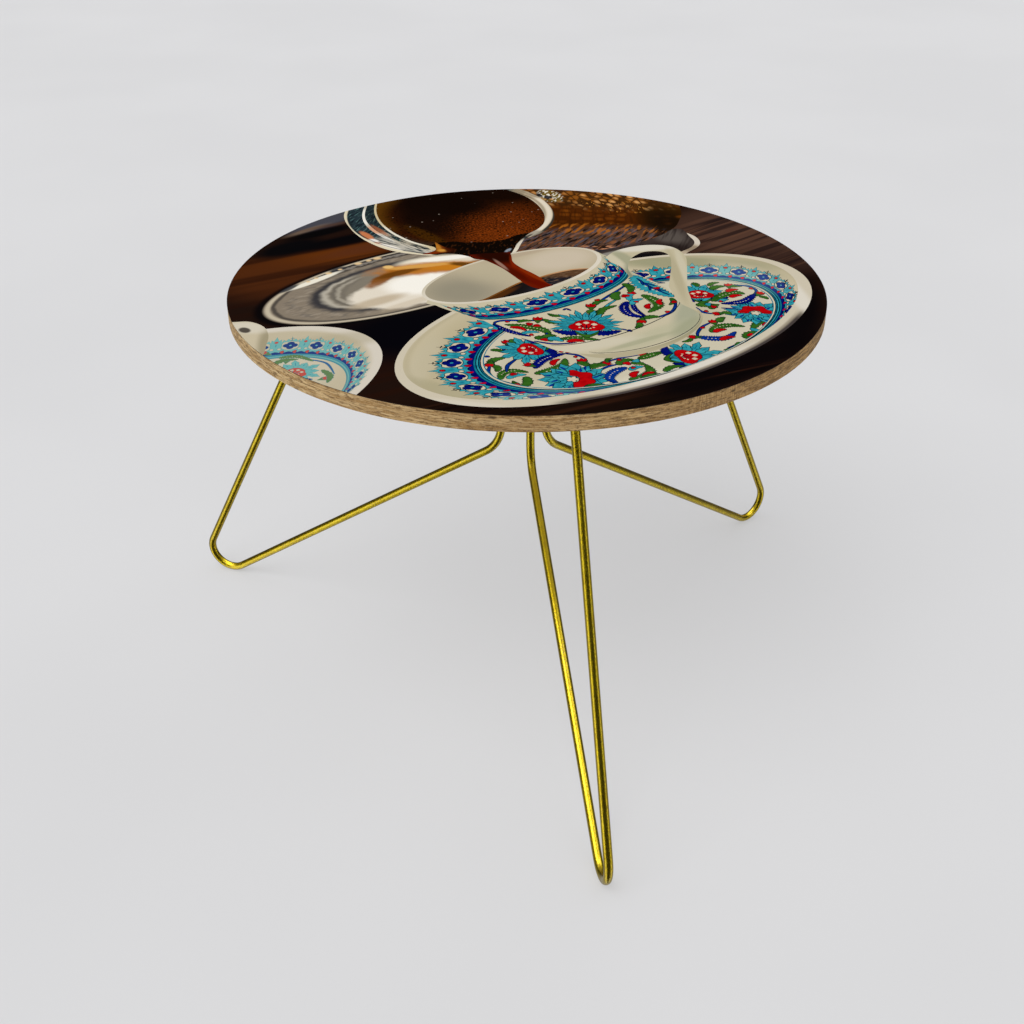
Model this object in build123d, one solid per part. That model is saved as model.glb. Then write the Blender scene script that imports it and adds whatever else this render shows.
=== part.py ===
"""Round side table: a printed top on an edge-banded board, on three bent-rod legs.

Millimetres. Z is up and the floor is Z = 0. The origin lies on the floor under the centre of
the top. The front leg points along -Y, and the other two stand 120 degrees either side of it.
Each sub-part is written to parts/NODE.step.
"""

import math
import os

from build123d import *

# The top: a printed decor sheet on a dark laminate, the board, a balancing foil, an edge band.
TABLE_HEIGHT = 440.0
TOP_DIAMETER = 600.0
TOP_THICKNESS = 16.0
DECOR_THICKNESS = 0.2
DECOR_BEVEL = 0.15
LAMINATE_THICKNESS = 0.5
FOIL_THICKNESS = 0.4
BAND_THICKNESS = 0.8
BAND_ROUNDING = 0.35
BAND_SEAM_GAP = 0.3
BAND_SEAM_AZIMUTH = 75.0

# The legs: one rod each, bent in a plane through the table's axis.
LEG_AZIMUTHS = {"front": -90.0, "right": 30.0, "left": 150.0}
ROD_DIAMETER = 9.0
INNER_END_RADIUS = 28.0
OUTER_END_RADIUS = 220.0
OUTER_LEAN = 27.1
INNER_SLOPE = 34.2
INNER_BEND_RADIUS = 42.0
FOOT_BEND_RADIUS = 25.5

# The flat bar that joins both ends of a rod and screws to the top.
PLATE_WIDTH = 25.0
PLATE_THICKNESS = 3.0
PLATE_START_RADIUS = 13.0
PLATE_END_RADIUS = 240.0
PLATE_CORNER = 5.0
PLATE_EDGE_BREAK = 0.4
SCREW_RADII = (52.0, 96.0, 148.0, 194.0)
SCREW_CLEARANCE = 0.25
WELD_LEG = 3.0

# Pan-head chipboard screws.
SCREW_HEAD_DIAMETER = 8.0
SCREW_HEAD_HEIGHT = 2.8
SCREW_LENGTH = 14.0
SCREW_THREAD_DIAMETER = 4.0
SCREW_CORE_DIAMETER = 2.6
SCREW_PLAIN_LENGTH = 3.2
SCREW_TIP_LENGTH = 3.0
SCREW_PITCH = 1.5
RECESS_WIDTH = 1.0
RECESS_SPAN = 4.4
RECESS_DEPTH = 1.5

TOP_RADIUS = TOP_DIAMETER / 2
UNDERSIDE_Z = TABLE_HEIGHT - TOP_THICKNESS
DECOR_Z = TABLE_HEIGHT - DECOR_THICKNESS
LAMINATE_Z = DECOR_Z - LAMINATE_THICKNESS
BOARD_RADIUS = TOP_RADIUS - BAND_THICKNESS
PLATE_Z = UNDERSIDE_Z - PLATE_THICKNESS
ROD_RADIUS = ROD_DIAMETER / 2


def disc(radius, low, high):
    """An upright cylinder on the table's axis, from height low to height high."""
    return Pos(0, 0, (low + high) / 2) * Cylinder(radius, high - low)


def decor_print():
    """The printed sheet that makes the top's surface, with its rim broken."""
    sheet = disc(TOP_RADIUS, DECOR_Z, TABLE_HEIGHT)
    rim = sheet.edges().filter_by(GeomType.CIRCLE).sort_by(Axis.Z)[-1]
    return chamfer(rim, DECOR_BEVEL)


def laminate_core():
    """The dark laminate under the print, which also covers the upper edge of the band."""
    return disc(TOP_RADIUS, LAMINATE_Z, DECOR_Z)


def core_board(screws):
    """The chipboard disc, with a hole that each screw has cut for itself."""
    return disc(BOARD_RADIUS, UNDERSIDE_Z + FOIL_THICKNESS, LAMINATE_Z) - screws


def backing_foil(screws):
    """The balancing foil under the board, pierced by the screws."""
    return disc(BOARD_RADIUS, UNDERSIDE_Z, UNDERSIDE_Z + FOIL_THICKNESS) - screws


def edge_band():
    """The strip around the board's edge, with the narrow butt seam where its two ends meet."""
    ring = disc(TOP_RADIUS, UNDERSIDE_Z, LAMINATE_Z) - disc(BOARD_RADIUS, UNDERSIDE_Z, LAMINATE_Z)
    outer_rim = ring.edges().filter_by(GeomType.CIRCLE).group_by(Axis.Z)[0].sort_by(SortBy.RADIUS)[-1]
    ring = fillet(outer_rim, BAND_ROUNDING)
    seam = Pos(TOP_RADIUS, 0, LAMINATE_Z - TOP_THICKNESS / 2)
    seam *= Box(4 * BAND_THICKNESS, BAND_SEAM_GAP, 2 * TOP_THICKNESS)
    return ring - Rot(0, 0, BAND_SEAM_AZIMUTH) * seam


def rod_corners():
    """The corners (radius, height) of a rod's centreline before bending, from inner to outer end.

    The foot bend's arc touches the outer and the inner run, and its underside rests on the floor.
    """
    lean, slope = math.radians(OUTER_LEAN), math.radians(INNER_SLOPE)
    arc_z = FOOT_BEND_RADIUS + ROD_RADIUS
    run_length = (UNDERSIDE_Z - FOOT_BEND_RADIUS * math.sin(lean) - arc_z) / math.cos(lean)
    arc_r = OUTER_END_RADIUS + run_length * math.sin(lean) - FOOT_BEND_RADIUS * math.cos(lean)
    half_vee = (math.pi / 2 - lean - slope) / 2
    reach = FOOT_BEND_RADIUS / math.sin(half_vee)
    foot_r = arc_r + reach * math.cos(slope + half_vee)
    foot_z = arc_z - reach * math.sin(slope + half_vee)
    knee_z = foot_z + (foot_r - INNER_END_RADIUS) * math.tan(slope)
    beyond = 2 * ROD_DIAMETER
    return [
        (INNER_END_RADIUS, UNDERSIDE_Z + beyond),
        (INNER_END_RADIUS, knee_z),
        (foot_r, foot_z),
        (OUTER_END_RADIUS - beyond * math.tan(lean), UNDERSIDE_Z + beyond),
    ]


def leg_rod():
    """One bent rod in the X-Z plane, both ends cut flush with the plate's underside."""
    corners = [(r, 0, z) for r, z in rod_corners()]
    path = FilletPolyline(*corners, radius=[INNER_BEND_RADIUS, FOOT_BEND_RADIUS])
    section = Plane(origin=corners[0], z_dir=(0, 0, -1)) * Circle(ROD_RADIUS)
    rod = sweep(section, path=path)
    above_plate = Pos(TOP_RADIUS / 2, 0, PLATE_Z + TOP_RADIUS / 2)
    above_plate *= Box(TOP_DIAMETER, TOP_RADIUS, TOP_RADIUS)
    return rod - above_plate


def leg_plate():
    """The flat bar in the X-Z plane's direction, with a clearance hole for each screw."""
    length = PLATE_END_RADIUS - PLATE_START_RADIUS
    middle = (PLATE_END_RADIUS + PLATE_START_RADIUS) / 2
    bar = extrude(RectangleRounded(length, PLATE_WIDTH, PLATE_CORNER), PLATE_THICKNESS)
    bar = chamfer(bar.faces().sort_by(Axis.Z)[0].outer_wire().edges(), PLATE_EDGE_BREAK)
    bar = Pos(middle, 0, PLATE_Z) * bar
    hole_radius = SCREW_THREAD_DIAMETER / 2 + SCREW_CLEARANCE
    for radius in SCREW_RADII:
        bar -= Pos(radius, 0, PLATE_Z) * Cylinder(hole_radius, 3 * PLATE_THICKNESS)
    return bar


def weld_bead(radius, lean, rod):
    """The fillet weld round a rod's end: wide at the plate, run out on the rod."""
    stretch = 1 / math.cos(math.radians(lean))
    foot = Plane((radius, 0, PLATE_Z)) * Ellipse((ROD_RADIUS + WELD_LEG) * stretch, ROD_RADIUS + WELD_LEG)
    drop = WELD_LEG * 1.1
    low_radius = radius + drop * math.tan(math.radians(lean))
    tip = Plane((low_radius, 0, PLATE_Z - drop))
    tip *= Ellipse((ROD_RADIUS + 0.2) * stretch, ROD_RADIUS + 0.2)
    return loft([tip, foot]) - rod


def leg_welds(rod):
    """Both weld beads of one leg."""
    outer_radius = OUTER_END_RADIUS + PLATE_THICKNESS * math.tan(math.radians(OUTER_LEAN))
    return [weld_bead(INNER_END_RADIUS, 0, rod), weld_bead(outer_radius, OUTER_LEAN, rod)]


def screw():
    """A screw along +Z with its head's seat at Z = 0, its thread drawn as separate ridges."""
    head, thread, core = SCREW_HEAD_DIAMETER / 2, SCREW_THREAD_DIAMETER / 2, SCREW_CORE_DIAMETER / 2
    outline = [(thread, 0), (thread, SCREW_PLAIN_LENGTH)]
    thread_end = SCREW_LENGTH - SCREW_TIP_LENGTH
    ridges = int((thread_end - SCREW_PLAIN_LENGTH) / SCREW_PITCH)
    for turn in range(ridges):
        root = SCREW_PLAIN_LENGTH + (turn + 0.35) * SCREW_PITCH
        outline += [(core, root), (core, root + 0.25 * SCREW_PITCH), (thread, root + 0.5 * SCREW_PITCH)]
    outline += [(core, thread_end), (0, SCREW_LENGTH)]
    rim_z = -0.35 * SCREW_HEAD_HEIGHT
    dome = ThreePointArc((0, -SCREW_HEAD_HEIGHT), (0.68 * head, -0.8 * SCREW_HEAD_HEIGHT), (head, rim_z))
    seat = Polyline((head, rim_z), (head, 0), *outline)
    axis = Line((0, SCREW_LENGTH), (0, -SCREW_HEAD_HEIGHT))
    body = revolve(Plane.XZ * make_face([dome, seat, axis]), Axis.Z)
    return body - cross_recess()


def cross_recess():
    """The cross in the screw's head: two slots that narrow towards the bottom."""
    slot = loft([
        Plane((0, 0, -SCREW_HEAD_HEIGHT - 0.1)) * Rectangle(RECESS_SPAN, RECESS_WIDTH),
        Plane((0, 0, -SCREW_HEAD_HEIGHT + RECESS_DEPTH)) * Rectangle(0.45 * RECESS_SPAN, 0.7 * RECESS_WIDTH),
    ])
    return slot + Rot(0, 0, 90) * slot


def leg_parts():
    """{name: list of solids} of one leg, in the X-Z plane and pointing along +X."""
    rod = leg_rod()
    parts = {"rod": [rod], "plate": [leg_plate()], "welds": leg_welds(rod)}
    for number, radius in enumerate(SCREW_RADII, start=1):
        parts[f"screw_{number}"] = [Pos(radius, 0, PLATE_Z) * Rot(0, 0, 17 * number) * screw()]
    return parts


def table_parts():
    """{node name: list of solids} of the whole table."""
    nodes = {}
    leg = leg_parts()
    for side, azimuth in LEG_AZIMUTHS.items():
        for name, solids in leg.items():
            nodes[f"{side}_leg_{name}"] = [Rot(0, 0, azimuth) * solid for solid in solids]
    screws = [solids[0] for name, solids in nodes.items() if "_screw_" in name]
    nodes["top_decor_print"] = [decor_print()]
    nodes["top_laminate_core"] = [laminate_core()]
    nodes["top_core_board"] = [core_board(screws)]
    nodes["top_backing_foil"] = [backing_foil(screws)]
    nodes["top_edge_band"] = [edge_band()]
    return nodes


os.makedirs("parts", exist_ok=True)
for node, solids in table_parts().items():
    shape = solids[0] if len(solids) == 1 else Compound(children=solids)
    export_step(shape, f"parts/{node}.step")
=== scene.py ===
"""Visual model of a low round side table: a printed top, an oak-look edge and gold bent-rod legs.

The CAD frame carries every solid piece and gets its materials here. Only the thin decor sheet on
the top is replaced, by a mesh that is divided along the outlines of its printed picture: a cup of
coffee on a saucer, being filled from a copper pot. The picture is drawn below from ellipses, a few
smooth outlines and repeated ornaments, in millimetres from the centre of the top.
"""
import math

import bpy
from mathutils import Matrix, Vector
from mathutils.geometry import delaunay_2d_cdt


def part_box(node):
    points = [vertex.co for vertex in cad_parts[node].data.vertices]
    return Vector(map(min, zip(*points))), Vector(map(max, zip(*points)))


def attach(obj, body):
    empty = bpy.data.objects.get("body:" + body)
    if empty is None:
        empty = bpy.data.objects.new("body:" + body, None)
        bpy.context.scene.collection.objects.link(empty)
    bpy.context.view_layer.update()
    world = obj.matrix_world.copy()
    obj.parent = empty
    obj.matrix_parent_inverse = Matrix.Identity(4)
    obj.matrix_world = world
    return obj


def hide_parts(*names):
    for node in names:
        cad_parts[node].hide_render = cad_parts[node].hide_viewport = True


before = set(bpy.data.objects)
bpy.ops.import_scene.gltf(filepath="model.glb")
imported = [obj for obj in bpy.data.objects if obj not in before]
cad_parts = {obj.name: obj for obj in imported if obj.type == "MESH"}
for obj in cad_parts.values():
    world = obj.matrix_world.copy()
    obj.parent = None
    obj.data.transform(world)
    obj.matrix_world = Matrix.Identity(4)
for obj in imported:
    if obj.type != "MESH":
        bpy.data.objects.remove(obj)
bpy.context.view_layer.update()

TOP_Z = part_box("top_decor_print")[1].z
TOP_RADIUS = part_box("top_decor_print")[1].y
SHEET_THICKNESS = TOP_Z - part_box("top_decor_print")[0].z
SHEET_BEVEL = 0.00015
# How far the printed picture is turned on the top, in degrees.
PICTURE_TURN = -10.745
MM = 0.001


# ---------------------------------------------------------------- materials

def rgb(red, green, blue):
    """A display colour, 0 to 255 for each channel, as linear RGBA."""
    def channel(value):
        value /= 255
        return value / 12.92 if value <= 0.04045 else ((value + 0.055) / 1.055) ** 2.4
    return (channel(red), channel(green), channel(blue), 1.0)


def grey(level):
    """A linear grey; values over 1 are brighter than white."""
    return (level, level, level, 1.0)


class Shader:
    """A new Principled material, with short names for the nodes that feed it."""

    def __init__(self, name, roughness=0.5, metallic=0.0, specular=0.5):
        self.material = bpy.data.materials.new(name)
        self.material.use_nodes = True
        self.tree = self.material.node_tree
        self.surface = self.tree.nodes["Principled BSDF"]
        self.surface.inputs["Roughness"].default_value = roughness
        self.surface.inputs["Metallic"].default_value = metallic
        self.surface.inputs["Specular IOR Level"].default_value = specular
        self.place = self.node("ShaderNodeTexCoord").outputs["Object"]

    def node(self, kind, inputs=None, **settings):
        made = self.tree.nodes.new(kind)
        for name, value in settings.items():
            setattr(made, name, value)
        for socket, value in (inputs or {}).items():
            self.feed(made.inputs[socket], value)
        return made

    def feed(self, socket, value):
        if isinstance(value, bpy.types.NodeSocket):
            self.tree.links.new(value, socket)
        else:
            socket.default_value = value

    def math(self, operation, first, second=0.0, third=0.0):
        return self.node("ShaderNodeMath", {0: first, 1: second, 2: third}, operation=operation).outputs[0]

    def times(self, first, second):
        return self.math("MULTIPLY", first, second)

    def vector(self, operation, first, second=(0, 0, 0)):
        return self.node("ShaderNodeVectorMath", {0: first, 1: second}, operation=operation).outputs

    def mix(self, factor, first, second, blend="MIX"):
        made = self.node("ShaderNodeMix", data_type="RGBA", blend_type=blend)
        for socket, value in ((0, factor), (6, first), (7, second)):
            self.feed(made.inputs[socket], value)
        return made.outputs[2]

    def local(self, centre, size=(1, 1), tilt=0.0, place=None):
        """Coordinates that are 0 at centre and 1 at size, along axes turned by tilt degrees."""
        inputs = {
            "Vector": place or self.place,
            "Location": (*centre, 0),
            "Rotation": (0, 0, math.radians(tilt)),
            "Scale": (*size, 1),
        }
        return self.node("ShaderNodeMapping", inputs, vector_type="TEXTURE").outputs[0]

    def stretched(self, scale):
        """Object coordinates multiplied by one scale for each axis."""
        return self.node("ShaderNodeMapping", {"Vector": self.place, "Scale": scale}).outputs[0]

    def distance(self, centre, size, tilt=0.0):
        """1 on the outline of an ellipse with these half axes, less inside and more outside."""
        return self.vector("LENGTH", self.local(centre, size, tilt))["Value"]

    def noise(self, scale=1.0, detail=3.0, rough=0.55, place=None, warp=0.0):
        inputs = {
            "Vector": place or self.place,
            "Scale": scale,
            "Detail": detail,
            "Roughness": rough,
            "Distortion": warp,
        }
        return self.node("ShaderNodeTexNoise", inputs).outputs["Fac"]

    def cells(self, scale=1.0, place=None, feature="F1", randomness=1.0):
        inputs = {"Vector": place or self.place, "Scale": scale, "Randomness": randomness}
        return self.node("ShaderNodeTexVoronoi", inputs, feature=feature).outputs["Distance"]

    def rise(self, value, low, high, bottom=0.0, top=1.0):
        """bottom where value is low, top where it is high, and a smooth step between them."""
        inputs = {"Value": value, "From Min": low, "From Max": high, "To Min": bottom, "To Max": top}
        return self.node("ShaderNodeMapRange", inputs, interpolation_type="SMOOTHSTEP").outputs[0]

    def near(self, centre, size, tilt=0.0, outer=1.1, inner=0.7):
        """A mask: 1 well inside an ellipse and 0 outside it, with a soft edge between two fractions."""
        return self.rise(self.distance(centre, size, tilt), outer, inner)

    def ramp(self, value, *stops):
        """Colours along a value: stops are (position, colour) pairs."""
        made = self.node("ShaderNodeValToRGB", {"Fac": value})
        band = made.color_ramp
        while len(band.elements) < len(stops):
            band.elements.new(1.0)
        for element, (position, colour) in zip(band.elements, stops):
            element.position = position
            element.color = colour
        return made.outputs["Color"]

    def blob(self, under, colour, centre, size, tilt=0.0, soft=0.5, strength=1.0, wobble=0.0, grain=0.02):
        """A soft ellipse painted over the colour so far, its edge broken up by wobble."""
        distance = self.distance(centre, size, tilt)
        if wobble:
            rough = self.math("MULTIPLY_ADD", self.noise(grain, 3.0), 2 * wobble, -wobble)
            distance = self.math("ADD", distance, rough)
        return self.mix(self.rise(distance, 1 + soft / 2, 1 - soft / 2, 0.0, strength), under, colour)

    def bump(self, height, distance, strength=1.0):
        inputs = {"Height": height, "Distance": distance, "Strength": strength}
        self.feed(self.surface.inputs["Normal"], self.node("ShaderNodeBump", inputs).outputs[0])

    def colour(self, value):
        self.feed(self.surface.inputs["Base Color"], value)

    def roughness(self, value):
        self.feed(self.surface.inputs["Roughness"], value)


def give(node_names, material):
    """Puts one material on these CAD nodes."""
    for name in node_names:
        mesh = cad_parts[name].data
        mesh.materials.clear()
        mesh.materials.append(material)


# ---------------------------------------------------------------- solid pieces

def gold(name, grain=1500.0, dents=420.0, roughness=0.16):
    """A glossy gold finish over steel: grain breaks up its reflections, dents are shallow ripples."""
    paint = Shader(name, roughness, metallic=1.0)
    paint.surface.inputs["Coat Weight"].default_value = 0.6
    paint.surface.inputs["Coat Roughness"].default_value = 0.12
    fine = paint.noise(grain, 4.0, 0.6)
    broad = paint.noise(60.0, 2.0)
    tone = paint.mix(paint.rise(broad, 0.3, 0.7), rgb(216, 190, 20), rgb(200, 172, 8))
    paint.colour(paint.mix(paint.rise(fine, 0.5, 0.7, 0.0, 0.5), tone, rgb(136, 108, 4)))
    paint.roughness(paint.rise(fine, 0.3, 0.7, roughness - 0.04, roughness + 0.12))
    paint.bump(paint.math("ADD", fine, paint.noise(dents, 2.0)), 0.0003, 0.6)
    return paint.material


# Small knots in the edging: azimuth in degrees, height and size in metres.
EDGE_KNOTS = ((-106, 0.4372, 0.0016), (-64, 0.4345, 0.0014), (118, 0.4335, 0.0020), (20, 0.4300, 0.0016))
# Where the edging's grain stands upright, in metres.
EDGE_FIGURE_PLACE = (0.115, -0.278)
EDGE_FIGURE_SIZE = (0.045, 0.06)


def knot_distance(paint, azimuth, height, size):
    """0 at the middle of a knot and 1 on its outline, which is longer along the edge than up it."""
    place = ray(azimuth) * TOP_RADIUS
    inputs = {
        "Vector": paint.place,
        "Location": (place.x, place.y, height),
        "Rotation": (0, 0, math.radians(azimuth + 90)),
        "Scale": (2.4 * size, 2.4 * size, size),
    }
    around = paint.node("ShaderNodeMapping", inputs, vector_type="TEXTURE").outputs[0]
    return paint.vector("LENGTH", around)["Value"]


def oak_edge():
    """Oak-look edging: long grain round the edge, open pores, small knots and one figured patch, with painted
    shade: lighter on its lamp-lit left, darker to its right.
    """
    paint = Shader("oak_edge_band", specular=0.3)
    along = paint.noise(1.0, 6.0, 0.62, paint.stretched((30, 30, 520)), warp=0.8)
    upright = paint.noise(1.0, 4.0, 0.6, paint.stretched((700, 700, 60)), warp=0.4)
    figured = paint.rise(paint.distance(EDGE_FIGURE_PLACE, EDGE_FIGURE_SIZE), 1.1, 0.6, 0.0, 0.75)
    grain = paint.node("ShaderNodeMix", {0: figured, 2: along, 3: upright}).outputs[0]
    # painted shade: both grain tones are painted lighter on the edging's left, the side the lamp shines on,
    # and darker towards its right
    side = paint.node("ShaderNodeSeparateXYZ", {0: paint.place}).outputs
    painted_shade_across = paint.math("ADD", side[0], paint.times(side[1], 0.25))
    light = paint.mix(paint.rise(painted_shade_across, -0.3, 0.25), rgb(224, 194, 142), rgb(192, 148, 82))
    dark = paint.mix(paint.rise(painted_shade_across, -0.3, 0.25), rgb(164, 126, 72), rgb(116, 82, 38))
    wood = paint.mix(paint.rise(grain, 0.36, 0.64), dark, light)
    pores = paint.noise(1.0, 3.0, 0.6, paint.stretched((130, 130, 760)))
    open_pores = paint.rise(pores, 0.48, 0.62, 0.0, 0.85)
    wood = paint.mix(open_pores, wood, paint.mix(0.6, dark, rgb(40, 24, 10)))
    wood = paint.mix(paint.rise(paint.noise(900.0, 2.0), 0.45, 0.7, 0.0, 0.3), wood, rgb(224, 196, 150))
    wood = paint.mix(paint.rise(paint.noise(9.0, 2.0), 0.35, 0.7, 0.0, 0.25), wood, rgb(128, 90, 48))
    for knot in EDGE_KNOTS:
        wood = paint.mix(paint.rise(knot_distance(paint, *knot), 1.3, 0.3, 0.0, 0.8), wood, rgb(66, 42, 22))
    paint.colour(wood)
    paint.roughness(paint.rise(grain, 0.3, 0.7, 0.62, 0.5))
    paint.bump(grain, 0.0002, 0.5)
    return paint.material


def chipboard():
    """Pressed wood chips in a pale binder."""
    paint = Shader("chipboard_core", 0.8, specular=0.2)
    chips = paint.node("ShaderNodeTexVoronoi", {"Vector": paint.place, "Scale": 420.0}).outputs["Color"]
    shade = paint.node("ShaderNodeSeparateColor", {0: chips}).outputs[0]
    stops = (0.0, rgb(150, 118, 78)), (0.5, rgb(196, 166, 120)), (1.0, rgb(222, 200, 160))
    paint.colour(paint.ramp(shade, *stops))
    paint.bump(shade, 0.0003, 0.6)
    return paint.material


def laminate_core():
    """Dark brown kraft layers under the decor, with faint fibres."""
    paint = Shader("laminate_core", 0.6, specular=0.3)
    fibres = paint.noise(1500.0, 4.0, 0.6)
    paint.colour(paint.mix(paint.rise(fibres, 0.3, 0.7), rgb(34, 24, 18), rgb(58, 42, 32)))
    paint.bump(fibres, 0.0001, 0.4)
    return paint.material


def backing_foil():
    """The pale paper foil under the board: a faint mottle and short pressed fibres."""
    paint = Shader("backing_foil", 0.62, specular=0.25)
    fibres = paint.noise(1.0, 5.0, 0.6, paint.stretched((260, 1900, 260)), warp=0.5)
    tone = paint.mix(paint.rise(paint.noise(14.0, 3.0), 0.3, 0.7), rgb(216, 208, 194), rgb(228, 222, 210))
    paint.colour(paint.mix(paint.rise(fibres, 0.5, 0.75, 0.0, 0.5), tone, rgb(190, 180, 162)))
    paint.roughness(paint.rise(fibres, 0.3, 0.7, 0.5, 0.7))
    paint.bump(fibres, 0.0001, 0.4)
    return paint.material


def screw_steel():
    """Zinc-plated steel with turned rings and small scuffs."""
    paint = Shader("screw_steel", 0.3, metallic=1.0)
    scuffs = paint.noise(3200.0, 4.0, 0.6)
    paint.colour(paint.mix(paint.rise(scuffs, 0.35, 0.7), rgb(206, 208, 210), rgb(158, 162, 168)))
    paint.roughness(paint.rise(scuffs, 0.3, 0.7, 0.24, 0.42))
    paint.bump(scuffs, 0.00005, 0.5)
    return paint.material


def finish_solids():
    """Gives each CAD node its material."""
    legs = ("front_leg", "left_leg", "right_leg")
    give([leg + "_rod" for leg in legs], gold("gold_rod"))
    give([leg + "_plate" for leg in legs], gold("gold_plate", dents=160.0, roughness=0.3))
    give([leg + "_welds" for leg in legs], gold("gold_weld", grain=1800.0, dents=900.0, roughness=0.34))
    give([f"{leg}_screw_{number}" for leg in legs for number in (1, 2, 3, 4)], screw_steel())
    give(["top_edge_band"], oak_edge())
    give(["top_core_board"], chipboard())
    give(["top_laminate_core"], laminate_core())
    give(["top_backing_foil"], backing_foil())


# ---------------------------------------------------------------- outlines, in millimetres

def point(x, y):
    return Vector((x, y))


def ray(degrees, length=1.0):
    """A vector in this direction, anticlockwise from +X."""
    return Vector((math.cos(math.radians(degrees)), math.sin(math.radians(degrees)))) * length


def ellipse(centre, size, tilt=0.0, count=120):
    along, across = ray(tilt), ray(tilt + 90)
    turns = [360 * step / count for step in range(count)]
    return [Vector(centre) + along * size[0] * ray(t).x + across * size[1] * ray(t).y for t in turns]


def smooth(points, closed=False, steps=5):
    """A Catmull-Rom curve through the points."""
    points = [Vector(p) for p in points]
    count = len(points)
    spans = count if closed else count - 1
    curve = []
    for span in range(spans):
        near = [span - 1, span, span + 1, span + 2]
        near = [n % count for n in near] if closed else [min(max(n, 0), count - 1) for n in near]
        a, b, c, d = (points[n] for n in near)
        for step in range(steps):
            t = step / steps
            curve.append(0.5 * (2 * b + (c - a) * t + (2 * a - 5 * b + 4 * c - d) * t ** 2
                                + (3 * b - a - 3 * c + d) * t ** 3))
    if not closed:
        curve.append(points[-1])
    return curve


def ring(*points):
    """A smooth closed outline through these points."""
    return smooth(points, closed=True)


def area(outline):
    return 0.5 * sum(a.cross(b) for a, b in zip(outline, outline[1:] + outline[:1]))


def counterclockwise(outline):
    return outline if area(outline) > 0 else outline[::-1]


def grow(outline, width):
    """The outline moved outwards, for the thin dark line round a painted shape."""
    outline = counterclockwise(outline)
    moved = []
    for before, here, after in zip(outline[-1:] + outline[:-1], outline, outline[1:] + outline[:1]):
        first = (here - before).normalized()
        second = (after - here).normalized()
        out = Vector((first.y + second.y, -first.x - second.x))
        if out.length < 0.3:
            out = first - second
        moved.append(here + out.normalized() * width)
    return moved


def stroke(spine, width, swell=0.7, teeth=0, tooth=0.35, tip=0.0):
    """A closed outline round a curve, widest near swell along it, with saw teeth on request."""
    spine = smooth(spine, steps=max(6, 3 * teeth // max(1, len(spine) - 1)))
    last = len(spine) - 1
    left, right = [], []
    for index, here in enumerate(spine):
        along = (spine[min(index + 1, last)] - spine[max(index - 1, 0)]).normalized()
        side = Vector((-along.y, along.x))
        t = index / last
        shape = math.sin(math.pi * t ** swell) ** 0.7 if 0 < t < 1 else 0.0
        half = 0.5 * max(width * shape, width * tip, 0.2)
        if teeth:
            half *= 1 + tooth * (1 if index % 2 else -0.6)
        left.append(here + side * half)
        right.append(here - side * half)
    return left + right[::-1]


def lobed(centre, size, lobes, depth, turn=0.0, stretch=1.0):
    """A rosette: a circle of this size whose radius swells once for each lobe."""
    outline = []
    count = max(16, 6 * lobes)
    for step in range(count):
        t = 360 * step / count
        radius = size * (1 - depth + depth * abs(math.cos(math.radians(t * lobes / 2))))
        spot = ray(t, radius)
        outline.append(Vector(centre) + ray(turn) * stretch * spot.x + ray(turn + 90) * spot.y)
    return outline


# ---------------------------------------------------------------- the printed picture

# Smaller shapes, in square millimetres, would not show and are left out.
SMALLEST_AREA = 0.2
# How close, in millimetres, two corners are before they count as one.
CORNER_TOLERANCE = 1e-4


class Picture:
    """Flat shapes in painter's order, cut into one mesh where each face shows its top shape."""

    def __init__(self):
        self.shapes = []
        self.materials = []

    def add(self, outline, material, inside=(), outside=()):
        """inside and outside name earlier shapes that this one is kept within, or kept out of."""
        if abs(area(outline)) < SMALLEST_AREA:
            return None
        if material not in self.materials:
            self.materials.append(material)
        self.shapes.append((counterclockwise(outline), self.materials.index(material), inside, outside))
        return len(self.shapes) - 1

    def inked(self, outline, material, ink, width, inside=(), outside=()):
        """A shape with a thin line of ink round it."""
        self.add(grow(outline, width), ink, inside, outside)
        return self.add(outline, material, inside, outside)

    def top_shape(self, over):
        """The material of the last shape, of those that cover a face, that may show there."""
        for index in sorted(over, reverse=True):
            _, material, inside, outside = self.shapes[index]
            if all(i in over for i in inside) and not any(o in over for o in outside):
                return material
        return None

    def faces(self):
        """The places of all corners, and each face's corners with its material."""
        corners, loops = [], []
        for outline, *_ in self.shapes:
            loops.append(list(range(len(corners), len(corners) + len(outline))))
            corners.extend(outline)
        places, _, faces, _, _, origins = delaunay_2d_cdt(corners, [], loops, 1, CORNER_TOLERANCE, True)
        # shape 0 is the whole sheet, so a face outside it is not part of the top
        on_top = [(face, set(over)) for face, over in zip(faces, origins) if 0 in over]
        return places, [(face, self.top_shape(over)) for face, over in on_top]


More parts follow.
